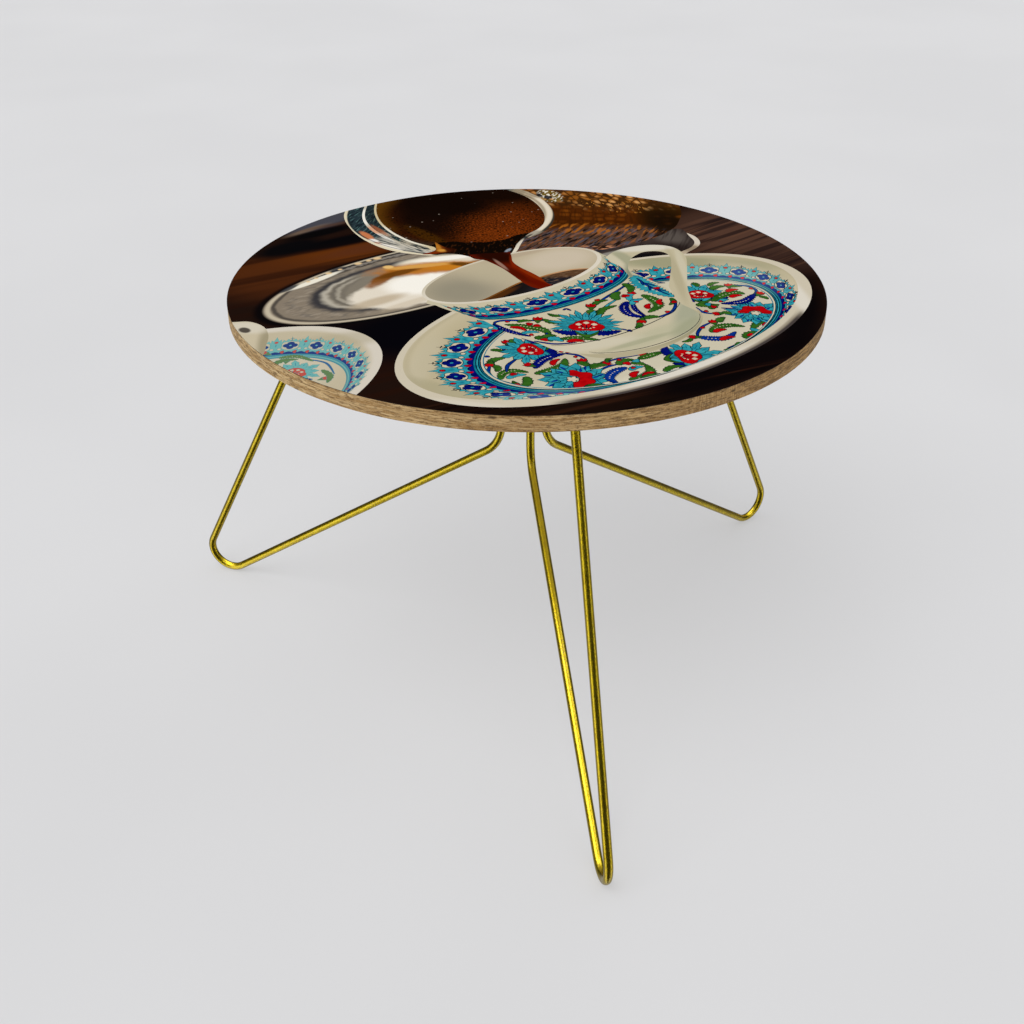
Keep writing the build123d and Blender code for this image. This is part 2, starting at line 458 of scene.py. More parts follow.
def sheet_mesh(picture):
    """The picture's faces at the top, a small bevel round them, and the sheet's own edge."""
    places, faces = picture.faces()
    turned = Matrix.Rotation(math.radians(PICTURE_TURN), 2)
    places = [turned @ place for place in places]
    # the material of the face to the left of each edge; an edge without a partner is on the rim
    owner = {}
    for face, material in faces:
        for a, b in zip(face, face[1:] + face[:1]):
            owner[(a, b)] = material
    rim = [(a, b) for a, b in owner if (b, a) not in owner]
    top, vertices = {}, []
    for index in dict.fromkeys(i for face, _ in faces for i in face):
        top[index] = len(vertices)
        vertices.append((places[index].x * MM, places[index].y * MM, 0.0))
    below = {}
    for index in {i for edge in rim for i in edge}:
        out = places[index].normalized() * TOP_RADIUS
        below[index] = (len(vertices), len(vertices) + 1)
        vertices.append((out.x, out.y, -SHEET_BEVEL))
        vertices.append((out.x, out.y, -SHEET_THICKNESS))
    polygons = [tuple(top[i] for i in face) for face, _ in faces]
    shades = [material for _, material in faces]
    for a, b in rim:
        polygons.append((top[b], top[a], below[a][0], below[b][0]))
        polygons.append((below[b][0], below[a][0], below[a][1], below[b][1]))
        shades += [owner[(a, b)]] * 2
    mesh = bpy.data.meshes.new("printed_top")
    mesh.from_pydata(vertices, [], polygons)
    for material in picture.materials:
        mesh.materials.append(material)
    mesh.polygons.foreach_set("material_index", shades)
    mesh.update()
    return mesh


class Print(Shader):
    """A printed colour under matt varnish, painted in picture millimetres."""

    def __init__(self, name, base, roughness=0.42, mottle=0.04):
        super().__init__(name, roughness, specular=0.0)
        self.place = self.local((0, 0), (MM, MM), PICTURE_TURN)
        self.tone = rgb(*base)
        self.mottle = mottle

    def dab(self, colour, centre, size, tilt=0.0, soft=0.8, strength=1.0, wobble=0.0, grain=0.03):
        """A soft patch of colour over everything painted so far."""
        self.tone = self.blob(self.tone, rgb(*colour), centre, size, tilt, soft, strength, wobble, grain)

    def cover(self, amount, colour):
        """Mixes this amount of a colour into everything painted so far."""
        self.tone = self.mix(amount, self.tone, rgb(*colour))

    def hoop(self, colour, centre, size, tilt, low, high, soft=0.03, strength=1.0,
             wobble=0.0, grain=0.05, mask=1.0):
        """A soft ring of colour between two fractions of an ellipse."""
        distance = self.distance(centre, size, tilt)
        if wobble:
            rough = self.math("MULTIPLY_ADD", self.noise(grain, 2.0), wobble, -wobble / 2)
            distance = self.math("ADD", distance, rough)
        inner = self.rise(distance, low - soft, low + soft, 0.0, strength)
        outer = self.rise(distance, high - soft, high + soft, 1.0, 0.0)
        self.cover(self.times(self.times(inner, outer), mask), colour)

    def strands(self, colour, centre, size, tilt, low=0.5, high=0.65, strength=1.0, mask=1.0):
        """Streaks of colour, this long and wide: noise stretched along one direction."""
        streak = self.noise(1.0, 2.0, 0.45, self.local(centre, size, tilt), 0.1)
        self.cover(self.times(self.rise(streak, low, high, 0.0, strength), mask), colour)

    def done(self):
        """Adds the faint grain of a print under varnish, and gives the material."""
        low, high = grey(1 - self.mottle), grey(1 + self.mottle)
        grain = self.ramp(self.noise(1.1, 2.0), (0.3, low), (0.7, high))
        self.colour(self.mix(1.0, self.tone, grain, "MULTIPLY"))
        self.bump(self.noise(0.8, 3.0), 0.00002, 0.3)
        return self.material


# ---------------------------------------------------------------- colours of the printed picture

# Each colour of the painted pattern: plain, pale where light lies on it, and deep under the brush.
GLAZES = {
    "turquoise": ((54, 156, 166), (150, 198, 186), (10, 116, 140)),
    "teal": ((20, 118, 138), (100, 168, 166), (0, 92, 124)),
    "cobalt": ((6, 18, 112), (74, 104, 168), (0, 6, 78)),
    "blue": ((10, 50, 136), (84, 124, 176), (0, 28, 104)),
    "red": ((186, 8, 12), (226, 92, 76), (150, 0, 8)),
    "green": ((54, 102, 30), (116, 152, 84), (26, 70, 18)),
    "ink": ((3, 15, 34), (84, 108, 112), (2, 9, 22)),
    "cell": ((206, 196, 172), (214, 206, 184), (194, 182, 154)),
}
# The same colours as they look on the far saucer, where a lens has mixed them with the glaze.
BLURRED_GLAZES = {
    "turquoise": (112, 174, 170),
    "teal": (70, 142, 156),
    "cobalt": (44, 66, 124),
    "blue": (60, 100, 146),
    "red": (186, 84, 74),
    "green": (98, 128, 84),
    "ink": (104, 142, 142),
    "cell": (190, 184, 162),
}
# Where light from the window pales the painted colours: centre, size, tilt.
GLARES = (((205, 22), (60, 32), -38), ((15, -268), (60, 12), 10))


def glaze_paint(name, base, pale, deep):
    """One ceramic colour: deeper and paler patches as in brushed glaze, and the glare on it."""
    paint = Print(name, base, mottle=0.06)
    brushed = paint.noise(0.12, 3.0, 0.6)
    paint.tone = paint.mix(paint.rise(brushed, 0.35, 0.7, 0.0, 0.8), paint.tone, rgb(*deep))
    for centre, size, tilt in GLARES:
        paint.dab(pale, centre, size, tilt, soft=1.2, strength=0.55)
    return paint.done()


def glaze_set():
    """The painted colours by name."""
    return {name: glaze_paint("print_" + name, *tones) for name, tones in GLAZES.items()}


def blurred_set():
    """The same colours out of focus."""
    return {
        name: Print("print_far_" + name, tone, mottle=0.1).done()
        for name, tone in BLURRED_GLAZES.items()
    }


# ---------------------------------------------------------------- painted ornaments

def placed(centre, turn, size, squash=1.0):
    """Turns an ornament's own coordinates, in units of its size, into picture millimetres."""
    across, up = ray(turn) * size, ray(turn + 90) * size * squash
    return lambda x, y: Vector(centre) + across * x + up * y


def hash_turn(centre):
    """A turn that differs from place to place but is the same on every run."""
    return (centre[0] * 37 + centre[1] * 53) % 360


def oval(strip, u, v, wide, tall, corners):
    """A small oval on a border strip, placed and sized in the strip's own units."""
    turns = [360 * n / corners for n in range(corners)]
    return [strip(u + wide * ray(t).x, v + tall * ray(t).y) for t in turns]


class Ornaments:
    """Draws flowers, leaves and scrolls of a floral ceramic pattern on one surface of the picture."""

    def __init__(self, picture, colours, inside, outside=(), line=0.75):
        self.picture = picture
        self.colours = colours
        self.inside = inside
        self.outside = outside
        self.line = line

    def flat(self, outline, colour):
        self.picture.add(outline, self.colours[colour], self.inside, self.outside)

    def drawn(self, outline, colour, ink="ink"):
        if abs(area(outline)) > SMALLEST_AREA:
            tone, line = self.colours[colour], self.colours[ink]
            self.picture.inked(outline, tone, line, self.line, self.inside, self.outside)

    def dot(self, centre, size, colour="red"):
        self.drawn(lobed(centre, size, 3, 0.35, turn=hash_turn(centre), stretch=0.8), colour)

    def stem(self, spine, width=2.4, colour="blue"):
        self.drawn(stroke(spine, width, swell=0.9, tip=0.35), colour)

    def leaf(self, base, tip, width, colour="green", bend=0.18):
        base, tip = Vector(base), Vector(tip)
        side = Vector((base.y - tip.y, tip.x - base.x)) * bend
        middle = base.lerp(tip, 0.5) + side
        self.drawn(stroke([base, middle, tip], width, swell=0.75, teeth=5, tooth=0.22), colour)

    def saz(self, spine, width, colour="green", teeth=11):
        """A long serrated leaf with a pale broken vein."""
        self.drawn(stroke(spine, width, swell=0.8, teeth=teeth, tooth=0.28), colour)
        vein = smooth(spine, steps=8)
        for index in range(len(vein) // 4, 3 * len(vein) // 4, 2):
            self.flat(lobed(vein[index], width * 0.09, 2, 0.3), "cell")

    def bud(self, centre, turn, size):
        """A red bud of three pointed petals in a green cup."""
        at = placed(centre, turn, size)
        calyx = ((-0.85, 0.25), (-0.3, -0.9), (0, -1.5), (0.3, -0.9), (0.85, 0.25), (0, 0))
        crown = (
            (-0.75, 1.05), (-0.8, 0.4), (-0.45, -0.15), (0.45, -0.15), (0.8, 0.4),
            (0.75, 1.05), (0.35, 0.75), (0, 1.3), (-0.35, 0.75),
        )
        self.drawn(smooth([at(x, y) for x, y in calyx], True, 3), "green")
        self.drawn([at(x, y) for x, y in crown], "red")

    def petal(self, at, turn, length, width, colour="turquoise", start=0.3):
        """A pointed petal with a notched edge, from near the flower's centre."""
        outline = [
            (start, -0.5), (0.55, -0.95), (0.62, -0.7), (0.78, -0.85), (0.84, -0.5), (1.0, 0.0),
            (0.86, 0.45), (0.78, 0.85), (0.66, 0.65), (0.55, 0.95), (start, 0.5),
        ]
        along, across = ray(turn), ray(turn + 90)
        spots = [along * (r * length) + across * (s * width * 0.5) for r, s in outline]
        self.drawn([at(spot.x, spot.y) for spot in spots], colour)

    def carnation(self, centre, turn, size, petals=11, spread=250, wings=True):
        """An opened carnation seen from the side: a fan of notched petals round a lobed red heart."""
        at = placed(centre, turn, size)
        order = sorted(range(petals), key=lambda n: (n % 2 == 0, -abs(n - (petals - 1) / 2)))
        for n in order:
            angle = 90 + spread * (n / (petals - 1) - 0.5)
            reach = 0.84 if n % 2 == 0 else 1.0
            self.petal(at, angle, reach, 3.1 / petals)
            vein = [at(*(ray(angle) * 0.5)), at(*(ray(angle) * 0.82 * reach))]
            self.flat(stroke(vein, size * 0.035), "teal")
        if wings:
            for side in (-1, 1):
                blade = [at(side * 0.1, -0.42), at(side * 0.45, -0.52), at(side * 0.86, -0.36)]
                self.drawn(stroke(blade, size * 0.26, swell=0.7, teeth=7, tooth=0.3), "cobalt")
        self.drawn(smooth([at(-0.3, -0.44), at(0, -0.78), at(0.3, -0.44), at(0, -0.3)], True, 4), "green")
        for angle in (148, 120, 90, 60, 32):
            tip = ray(angle) * 0.34
            lobe = [at(0, -0.58), at(tip.x * 0.8, tip.y - 0.54), at(tip.x * 1.2, tip.y - 0.42)]
            self.drawn(stroke(lobe, size * 0.14, swell=0.6), "turquoise")
        heart = []
        for t in range(0, 360, 12):
            swell = 0.27 + 0.1 * abs(math.cos(math.radians(1.5 * (t - 90))))
            heart.append(at(1.3 * swell * ray(t).x, swell * ray(t).y - 0.06))
        self.drawn(heart, "red")
        for angle in (30, 90, 150):
            spot = ray(angle) * 0.2
            self.drawn(lobed(at(spot.x * 1.15, spot.y - 0.06), size * 0.08, 4, 0.25), "cell", "red")
        for angle in (215, 245, 270, 295, 325):
            spot = ray(angle) * 0.17
            self.flat(lobed(at(spot.x * 1.3, spot.y - 0.06), size * 0.032, 3, 0.2), "cell")
        for side in (-1, 0, 1):
            fold = [at(side * 0.15, 0.02), at(side * 0.08, -0.16), at(0, -0.28)]
            self.flat(stroke(fold, size * 0.035), "ink")

    def tulip(self, centre, turn, size):
        """A composite bloom: rings of turquoise scales round a red crescent."""
        at = placed(centre, turn, size)
        for count, reach, width, start in ((15, 1.0, 0.34, 0.5), (12, 0.78, 0.32, 0.3)):
            for n in range(count):
                angle = 360 * (n + 0.5 * (count % 2)) / count
                self.petal(at, angle, reach * (1.0 if n % 3 else 0.9), width, start=start)
                if n % 2:
                    vein = [at(*(ray(angle) * reach * 0.6)), at(*(ray(angle + 6) * reach * 0.85))]
                    self.flat(stroke(vein, size * 0.09, swell=0.8), "blue")
        for n in range(7):
            self.petal(at, 180 + 26 * (n - 3), 0.5, 0.2, start=0.1)
        outer = [at(*(ray(t) * (0.5 + 0.06 * math.cos(math.radians(6 * t))))) for t in range(-75, 135, 10)]
        inner = [at(*(ray(t) * 0.22 + point(-0.08, -0.04))) for t in range(120, -75, -20)]
        self.drawn(outer + inner, "red")
        self.drawn(lobed(at(-0.06, -0.04), size * 0.17, 5, 0.45), "cell")

    def lace(self, strip, repeats, start=-100.0):
        """The border: dark-blue flowers in pale cells, turquoise lace and a red-dotted blue band.

        strip(u, v) gives the picture point at u repeats along the border and v up its height. The
        border begins at start, where its surface turns out of sight.
        """
        self.lace_bands(strip, repeats, start)
        for n in repeats:
            if n > start:
                self.lace_cell(strip, n)
            for offset in (0.24, 0.76):
                if n + offset > start:
                    knob = [ray(t) * (0.85 + 0.15 * math.cos(math.radians(3 * t))) for t in range(0, 360, 30)]
                    outline = [strip(n + offset + 0.085 * p.x, 0.09 + 0.12 * p.y) for p in knob]
                    self.drawn(outline, "red", "cobalt")
            if n + 0.4 > start:
                self.drawn(oval(strip, n + 0.5, 0.84, 0.06, 0.08, 8), "red")
                self.flat(oval(strip, n + 0.5, 0.6, 0.02, 0.12, 6), "teal")
            for offset in (0.37, 0.63):
                if n + offset > start:
                    self.drawn(oval(strip, n + offset, 0.32, 0.07, 0.075, 6), "cell")

    def lace_bands(self, strip, repeats, start):
        """The border's long parts, from its plain lower bands to the pointed crest."""
        rise = (
            (0.05, 0.95), (0.13, 1.04), (0.19, 0.88), (0.27, 0.99),
            (0.32, 0.8), (0.35, 1.04), (0.42, 0.93), (0.5, 1.25),
        )
        fall = [(1 - u, v) for u, v in reversed(rise[:-1])]
        crest = [(0, 0.86), *rise, *fall, (1, 0.86)]
        steps = [n / 12 for n in range(13)]
        scallops = [(u, 0.09 + 0.05 * math.cos(4 * math.pi * u)) for u in steps]

        def level(v):
            return [(u, v) for u in steps]

        bands = (
            ("teal", level(-0.32), level(-0.08)),
            ("turquoise", level(-0.25), level(-0.19)),
            ("cobalt", level(-0.07), level(0.3)),
            ("turquoise", scallops, crest),
        )
        for colour, low, high in bands:
            parts = [[strip(n + u, v) for u, v in low + high[::-1] if n + u >= start] for n in repeats]
            if colour != "cobalt":
                for outline in parts:
                    self.flat(grow(outline, 1.3 * self.line), "ink")
            for outline in parts:
                self.flat(outline, colour)

    def lace_cell(self, strip, n):
        """One pale cell of the border with its flower, and the fine hair that stands above it."""
        hair = [strip(n, 0.8), strip(n, 1.0), strip(n + 0.02, 1.22)]
        self.flat(stroke(hair, 1.8, swell=0.3, tip=0.3), "ink")
        self.flat(stroke([strip(n - 0.08, 1.09), strip(n + 0.08, 1.09)], 1.4), "ink")
        half = [
            (0, 0.9), (0.1, 0.83), (0.24, 0.82), (0.3, 0.7),
            (0.29, 0.57), (0.3, 0.42), (0.2, 0.3), (0, 0.24),
        ]
        cell = half + [(-u, v) for u, v in reversed(half[1:-1])]
        self.drawn(smooth([strip(n + u, v) for u, v in cell], True, 3), "cell")
        flower = [ray(t) * (0.68 + 0.32 * abs(math.cos(math.radians(2 * t)))) for t in range(0, 360, 15)]
        self.drawn([strip(n + 0.26 * p.x, 0.56 + 0.27 * p.y) for p in flower], "cobalt")
        self.flat(oval(strip, n, 0.56, 0.05, 0.055, 6), "turquoise")


# ---------------------------------------------------------------- far part of the picture

# Ellipses: centre, half axes, tilt in degrees.
TRAY = ((-118.4, 5.9), (166.5, 74.1), 39.5)
TRAY_WELL = ((-128, -7), (100, 55), 39)


def on_ellipse(centre, size, tilt, turn, part=1.0):
    """The point at this turn and this fraction of the radius of an ellipse."""
    spot = ray(turn, part)
    return Vector(centre) + ray(tilt) * size[0] * spot.x + ray(tilt + 90) * size[1] * spot.y


def table_and_tray():
    """The dark wooden table, the silver tray of sweets on it, and the shadows between."""
    paint = Print("print_table", (30, 17, 12))
    # warm brown boards at the upper left, behind the tray
    paint.dab((98, 48, 12), (-196, 76), (130, 26), 30, 1.2, 0.9)
    paint.dab((84, 44, 26), (-168, 96), (60, 12), 34, 1.2, 0.6)
    paint.dab((76, 38, 16), (-262, 6), (60, 50), 30, 1.2, 0.85)
    paint.strands((36, 16, 9), (0, 0), (420, 20), 30, 0.45, 0.68, 0.65)
    # a dark thing far off, out of focus: grey above, a pale edge, black below
    paint.dab((7, 7, 9), (-196, 118), (74, 15), 34, 0.8, 0.97, wobble=0.06)
    paint.dab((8, 8, 10), (-256, 92), (40, 18), 46, 0.8, 0.95)
    paint.dab((72, 72, 80), (-236, 186), (62, 26), 48, 0.7, 0.92)
    paint.dab((118, 98, 80), (-245, 149), (26, 4.5), 48, 1.4, 0.75)
    paint.dab((84, 58, 42), (-222, 166), (30, 4), 34, 1.5, 0.6)
    paint.dab((7, 7, 8), (-228, 142), (42, 10), 38, 0.8, 0.95)
    # right-hand boards, with clear grain
    paint.dab((84, 58, 46), (240, 150), (90, 76), 40, 0.9, 0.92)
    paint.dab((56, 38, 32), (270, 62), (44, 40), 40, 1.0, 0.7)
    rights = paint.near((250, 120), (90, 120), -30, 1.2, 0.7)
    paint.dab((34, 23, 22), (226, 198), (56, 4.5), 38, 1.2, 0.85, wobble=0.2, grain=0.03)
    paint.strands((34, 23, 22), (0, 0), (210, 8), 41, 0.46, 0.6, 0.8, mask=rights)
    paint.strands((104, 70, 50), (9, 4), (160, 5), 41, 0.56, 0.76, 0.5, mask=rights)
    # the shade round the saucers
    paint.dab((5, 5, 10), (-95, -125), (100, 62), 20, 1.0, 0.97)
    paint.dab((6, 5, 7), (262, -70), (26, 90), -12, 0.9, 0.9)
    paint.dab((7, 5, 7), (185, -205), (120, 24), 40, 0.8, 0.9)
    paint.dab((22, 12, 8), (20, -290), (180, 24), 6, 0.9, 0.8)
    lower = paint.near((60, -280), (260, 60), 20, 1.2, 0.6)
    paint.strands((66, 36, 22), (31, 17), (260, 7), 26, 0.54, 0.74, 0.5, mask=lower)
    paint.strands((8, 5, 5), (3, 9), (200, 6), 26, 0.5, 0.64, 0.7, mask=lower)
    tray(paint)
    sweets(paint)
    return paint.done()


def tray(paint):
    """The silver tray, out of focus: its lip, its engraved border and its well."""
    paint.hoop((8, 7, 9), *TRAY, 0.98, 1.06, 0.03, 0.9)
    paint.dab((134, 122, 106), *TRAY, 0.02, 1.0)
    border = paint.rise(paint.distance(*TRAY), 0.9, 0.84)
    paint.strands((164, 152, 136), (0, 0), (12, 4), 39, 0.45, 0.7, 0.5, mask=border)
    paint.strands((92, 88, 84), (5, 8), (14, 5), 39, 0.5, 0.7, 0.5, mask=border)
    # the far side mirrors the dark room, the near side the window
    far = paint.near((-170, 62), (120, 38), 39, 1.1, 0.6)
    paint.hoop((30, 28, 30), *TRAY, 0.80, 0.985, 0.03, 0.85, wobble=0.1, mask=far)
    paint.hoop((150, 142, 132), *TRAY, 0.84, 0.90, 0.02, 0.7, wobble=0.12, grain=0.2, mask=far)
    paint.hoop((48, 46, 46), *TRAY, 0.915, 0.945, 0.012, 0.75, wobble=0.03)
    paint.hoop((196, 184, 160), *TRAY, 0.955, 0.988, 0.012, 0.95)
    paint.dab((238, 232, 214), (-215, -2), (34, 4.5), 50, 0.5, 0.97)
    paint.dab((46, 50, 58), (-238, -24), (14, 3), 58, 0.7, 0.9)
    paint.dab((50, 52, 58), (-196, 30), (10, 4), 45, 0.8, 0.9)
    for turn, bead in ((88, 3.4), (92, 2.2), (97, 3.0), (106, 1.8), (112, 2.6), (119, 1.8), (124, 1.8)):
        spot = on_ellipse(*TRAY, turn, 0.93)
        paint.dab((232, 200, 150), spot, (bead * 1.3, bead), 30, 0.9, 0.9)
    paint.hoop((40, 42, 50), *TRAY_WELL, 0.84, 1.0, 0.06, 0.9, wobble=0.12)
    paint.dab((128, 120, 106), TRAY_WELL[0], Vector(TRAY_WELL[1]) * 0.87, TRAY_WELL[2], 0.15, 0.95)
    near = paint.near((-196, -46), (44, 62), -24, 1.1, 0.7)
    paint.hoop((216, 208, 190), *TRAY_WELL, 0.83, 0.885, 0.04, 0.6, wobble=0.14, mask=near)
    paint.hoop((52, 52, 58), *TRAY_WELL, 0.755, 0.79, 0.04, 0.5, wobble=0.16, mask=near)
    paint.hoop((208, 200, 182), *TRAY_WELL, 0.70, 0.735, 0.04, 0.5, wobble=0.16, mask=near)
    paint.hoop((70, 66, 66), *TRAY_WELL, 0.63, 0.66, 0.04, 0.35, wobble=0.16, mask=near)


def sweets(paint):
    """The sweets in the tray: a pale heap with caramel over its back."""
    paint.dab((226, 216, 198), (-122, -30), (58, 37), 35, 0.2, 1.0, wobble=0.14, grain=0.05)
    paint.dab((248, 243, 232), (-100, -6), (44, 28), 24, 0.5, 1.0)
    paint.dab((188, 170, 142), (-146, -56), (30, 9), 38, 0.9, 0.8)
    paint.dab((190, 172, 142), (-112, -58), (40, 6), 40, 0.9, 0.4)
    paint.dab((224, 214, 192), (-92, 56), (44, 15), 16, 0.4, 1.0)
    caramel = (
        ((186, 112, 22), (-106, 34), (52, 16), 16),
        ((196, 122, 30), (-72, 42), (32, 11), 10),
        ((132, 76, 16), (-148, 2), (8, 26), -24),
        ((104, 60, 14), (-132, 20), (26, 6), 36),
        ((214, 158, 78), (-112, 40), (34, 5), 16),
        ((92, 56, 14), (-62, 46), (18, 6), -10),
    )
    for colour, spot, size, tilt in caramel:
        paint.dab(colour, spot, size, tilt, 0.7, 0.92, wobble=0.35, grain=0.07)
    paint.dab((246, 240, 228), (-86, 64), (34, 6), 18, 0.6, 0.95)
    paint.dab((232, 190, 118), (-144, 37), (5.5, 4.5), 0, 0.7, 0.95)


SECOND_SAUCER = ((-275.9, -272.8), (185.2, 106.9), 48)


def second_saucer(picture):
    """Part of another cup and saucer at the lower left, further off."""
    centre, size, tilt = SECOND_SAUCER
    paint = Print("print_second_saucer", (192, 181, 154))
    paint.hoop((214, 206, 192), *SECOND_SAUCER, 0.93, 1.02, 0.03, 0.9)
    paint.dab((176, 166, 138), (-172, -150), (60, 16), 20, 1.0, 0.6)
    paint.dab((206, 198, 176), (-215, -225), (50, 36), 40, 0.8, 0.6)
    plate = picture.add(ellipse(*SECOND_SAUCER), paint.done())

    def strip(u, v):
        part = 0.735 + 0.135 * v
        dipped = Vector(centre).lerp(Vector((-255, -296)), (1 - part) * 3)
        return on_ellipse(dipped, (size[0], size[1] * 0.97), tilt, 34 + 13.5 * u, part)

    drawing = Ornaments(picture, blurred_set(), (plate,), line=0.4)
    drawing.lace(strip, range(-6, 4))
    drawing.carnation((-202, -218), -20, 24, petals=9)
    drawing.bud((-236, -180), 60, 5)
    drawing.bud((-176, -232), -60, 4)
    drawing.bud((-214, -196), 0, 4)
    drawing.leaf((-226, -206), (-204, -192), 6)
    drawing.leaf((-180, -214), (-172, -240), 6)
    drawing.stem([(-196, -192), (-178, -200), (-168, -222)], 2.2)
    drawing.saz([(-222, -190), (-206, -186), (-190, -196)], 6)

    second_cup(picture)


def second_cup(picture):
    """The edge of the other cup, with its handle's dark opening."""
    paint = Print("print_second_cup", (200, 188, 160))
    paint.dab((150, 140, 112), (-236, -168), (9, 50), 8, 0.9, 0.8)
    paint.dab((214, 206, 188), (-262, -122), (20, 12), -20, 0.8, 0.8)
    paint.dab((40, 30, 26), (-264, -128), (5, 7), 40, 0.5, 0.9)
    picture.add(ring(
        (-320, -150), (-300, -110), (-279, -109), (-263, -108), (-248, -119), (-240, -138),
        (-238, -160), (-239, -190), (-262, -200), (-320, -220),
    ), paint.done())


# ---------------------------------------------------------------- the copper pot

# Ellipses: centre, half axes, tilt in degrees.
POT_RIM = ((-84, 207), (136.9, 124), -79)
POT_LIP = ((-98, 208), (129, 129), 0)
POT_WALL = ((-84, 207), (128, 112), -79)


def hammer(paint, size, tilt, randomness, light, dark, mask, strength):
    """Rows of hammer marks of this size: each has its own shade and a dark line round it."""
    place = paint.local((0, 0), size, tilt)
    marks = paint.node("ShaderNodeTexVoronoi", {"Vector": place, "Scale": 1.0, "Randomness": randomness})
    shade = paint.node("ShaderNodeSeparateColor", {0: marks.outputs["Color"]}).outputs[0]
    shine = paint.times(paint.rise(shade, 0.2, 0.8), paint.rise(marks.outputs["Distance"], 0.62, 0.12))
    paint.cover(paint.times(shine, mask), light)
    gap = paint.cells(1.0, place, "DISTANCE_TO_EDGE", randomness)
    shadow = paint.math("MAXIMUM", paint.rise(gap, 0.16, 0.02), paint.rise(shade, 0.4, 0.1))
    shadow = paint.times(shadow, paint.times(mask, strength))
    paint.cover(shadow, dark)


def copper_paint():
    """Hammered copper: bright marks above, soft ones in the middle and leaning streaks below."""
    paint = Print("print_copper", (70, 32, 6))
    paint.dab((138, 80, 24), (66, 280), (120, 40), -14, 0.9, 0.95)
    paint.dab((84, 38, 6), (84, 214), (80, 36), -6, 1.0, 0.8)
    paint.dab((46, 30, 6), (160, 200), (30, 60), 4, 1.0, 0.9)
    upper = paint.near((70, 300), (136, 76), -16, 1.1, 0.7)
    middle = paint.near((90, 206), (110, 46), -4, 1.2, 0.8)
    hammer(paint, (13, 13), -4, 0.4, (112, 58, 12), (44, 20, 4), middle, 0.42)
    paint.strands((48, 22, 5), (0, 0), (40, 3), 90, 0.5, 0.66, 0.5, mask=middle)
    hammer(paint, (8, 15), 22, 0.8, (232, 172, 104), (52, 30, 12), upper, 0.9)
    glints = paint.near((96, 238), (50, 24), -16, 1.2, 0.6)
    paint.strands((226, 150, 60), (6, 2), (8, 3), 100, 0.6, 0.7, 0.8, mask=glints)
    # the shaded side below mirrors the table in leaning streaks
    paint.dab((84, 60, 46), (76, 118), (110, 44), 8, 0.6, 0.95)
    paint.dab((22, 12, 5), (164, 156), (26, 66), 14, 0.9, 0.9)
    lower = paint.near((70, 122), (104, 44), 8, 1.1, 0.7)
    paint.strands((80, 80, 92), (0, 0), (20, 4.4), 58, 0.48, 0.64, 0.75, mask=lower)
    paint.strands((136, 84, 50), (4, 9), (18, 3.4), 60, 0.52, 0.64, 0.85, mask=lower)
    paint.strands((18, 13, 12), (8, 3), (22, 4), 60, 0.52, 0.62, 0.9, mask=lower)
    warm = paint.near((84, 158), (66, 17), -2, 1.3, 0.7)
    paint.strands((166, 96, 28), (2, 12), (17, 5), 66, 0.5, 0.62, 0.85, mask=warm)
    lowest = paint.near((58, 88), (70, 15), 6, 1.3, 0.6)
    paint.strands((206, 142, 102), (5, 4), (11, 5), 14, 0.5, 0.62, 0.85, mask=lowest)
    # the lug of a handle, gold and silver
    lug = paint.near((27, 274), (14, 24), 20, 1.2, 0.7)
    paint.strands((112, 92, 34), (9, 9), (10, 7), 70, 0.36, 0.5, 0.9, mask=lug)
    paint.strands((236, 230, 212), (2, 5), (9, 4), 70, 0.5, 0.6, 0.95, mask=lug)
    paint.dab((26, 32, 44), (25, 268), (5, 6), 0, 0.6, 0.95)
    paint.dab((20, 24, 34), (15, 276), (3, 8), 20, 0.6, 0.9)
    return paint.done()


def pot_base(picture):
    """The pot's silver foot and the pale ring at its end."""
    metal = Print("print_pot_metal", (60, 50, 47))
    metal.dab((88, 80, 74), (158, 134), (16, 34), 14, 1.0, 0.9)
    metal.strands((30, 22, 20), (0, 0), (60, 6), 76, 0.48, 0.66, 0.7)
    metal.dab((30, 20, 18), (150, 92), (30, 22), 12, 0.9, 0.8)
    metal.dab((12, 10, 14), (120, 66), (34, 14), 16, 0.7, 0.95)
    metal.dab((152, 146, 136), (86, 74), (30, 7), 36, 0.7, 0.8)
    metal.dab((40, 40, 46), (70, 82), (20, 3), 30, 0.7, 0.8)
    foot = Print("print_pot_base_ring", (178, 162, 138))
    foot.dab((214, 204, 188), (184, 126), (7, 20), 10, 0.8, 0.9)
    foot.dab((120, 100, 80), (178, 96), (10, 8), 40, 0.8, 0.6)

    picture.add(ring(
        (60, 60), (70, 92), (150, 140), (170, 150), (184.5, 136), (189, 116.5), (184.5, 101),
        (173.5, 86), (160, 70), (110, 55),
    ), foot.done())
    picture.add(ring(
        (60, 60), (70, 92), (150, 150), (172, 158), (179, 136), (183, 117), (178, 101), (167, 88),
        (150, 72), (110, 56),
    ), metal.done())


def pot_body(picture):
    """The part of the copper body that the top shows."""
    picture.add(ring(
        (-20, 80), (-30, 200), (-10, 330), (90, 390), (176, 300), (178, 238), (178, 212),
        (173.5, 189.5), (167, 167), (154, 145), (136, 125), (116, 110), (94, 97), (76, 90), (40, 78),
        (10, 72),
    ), copper_paint())


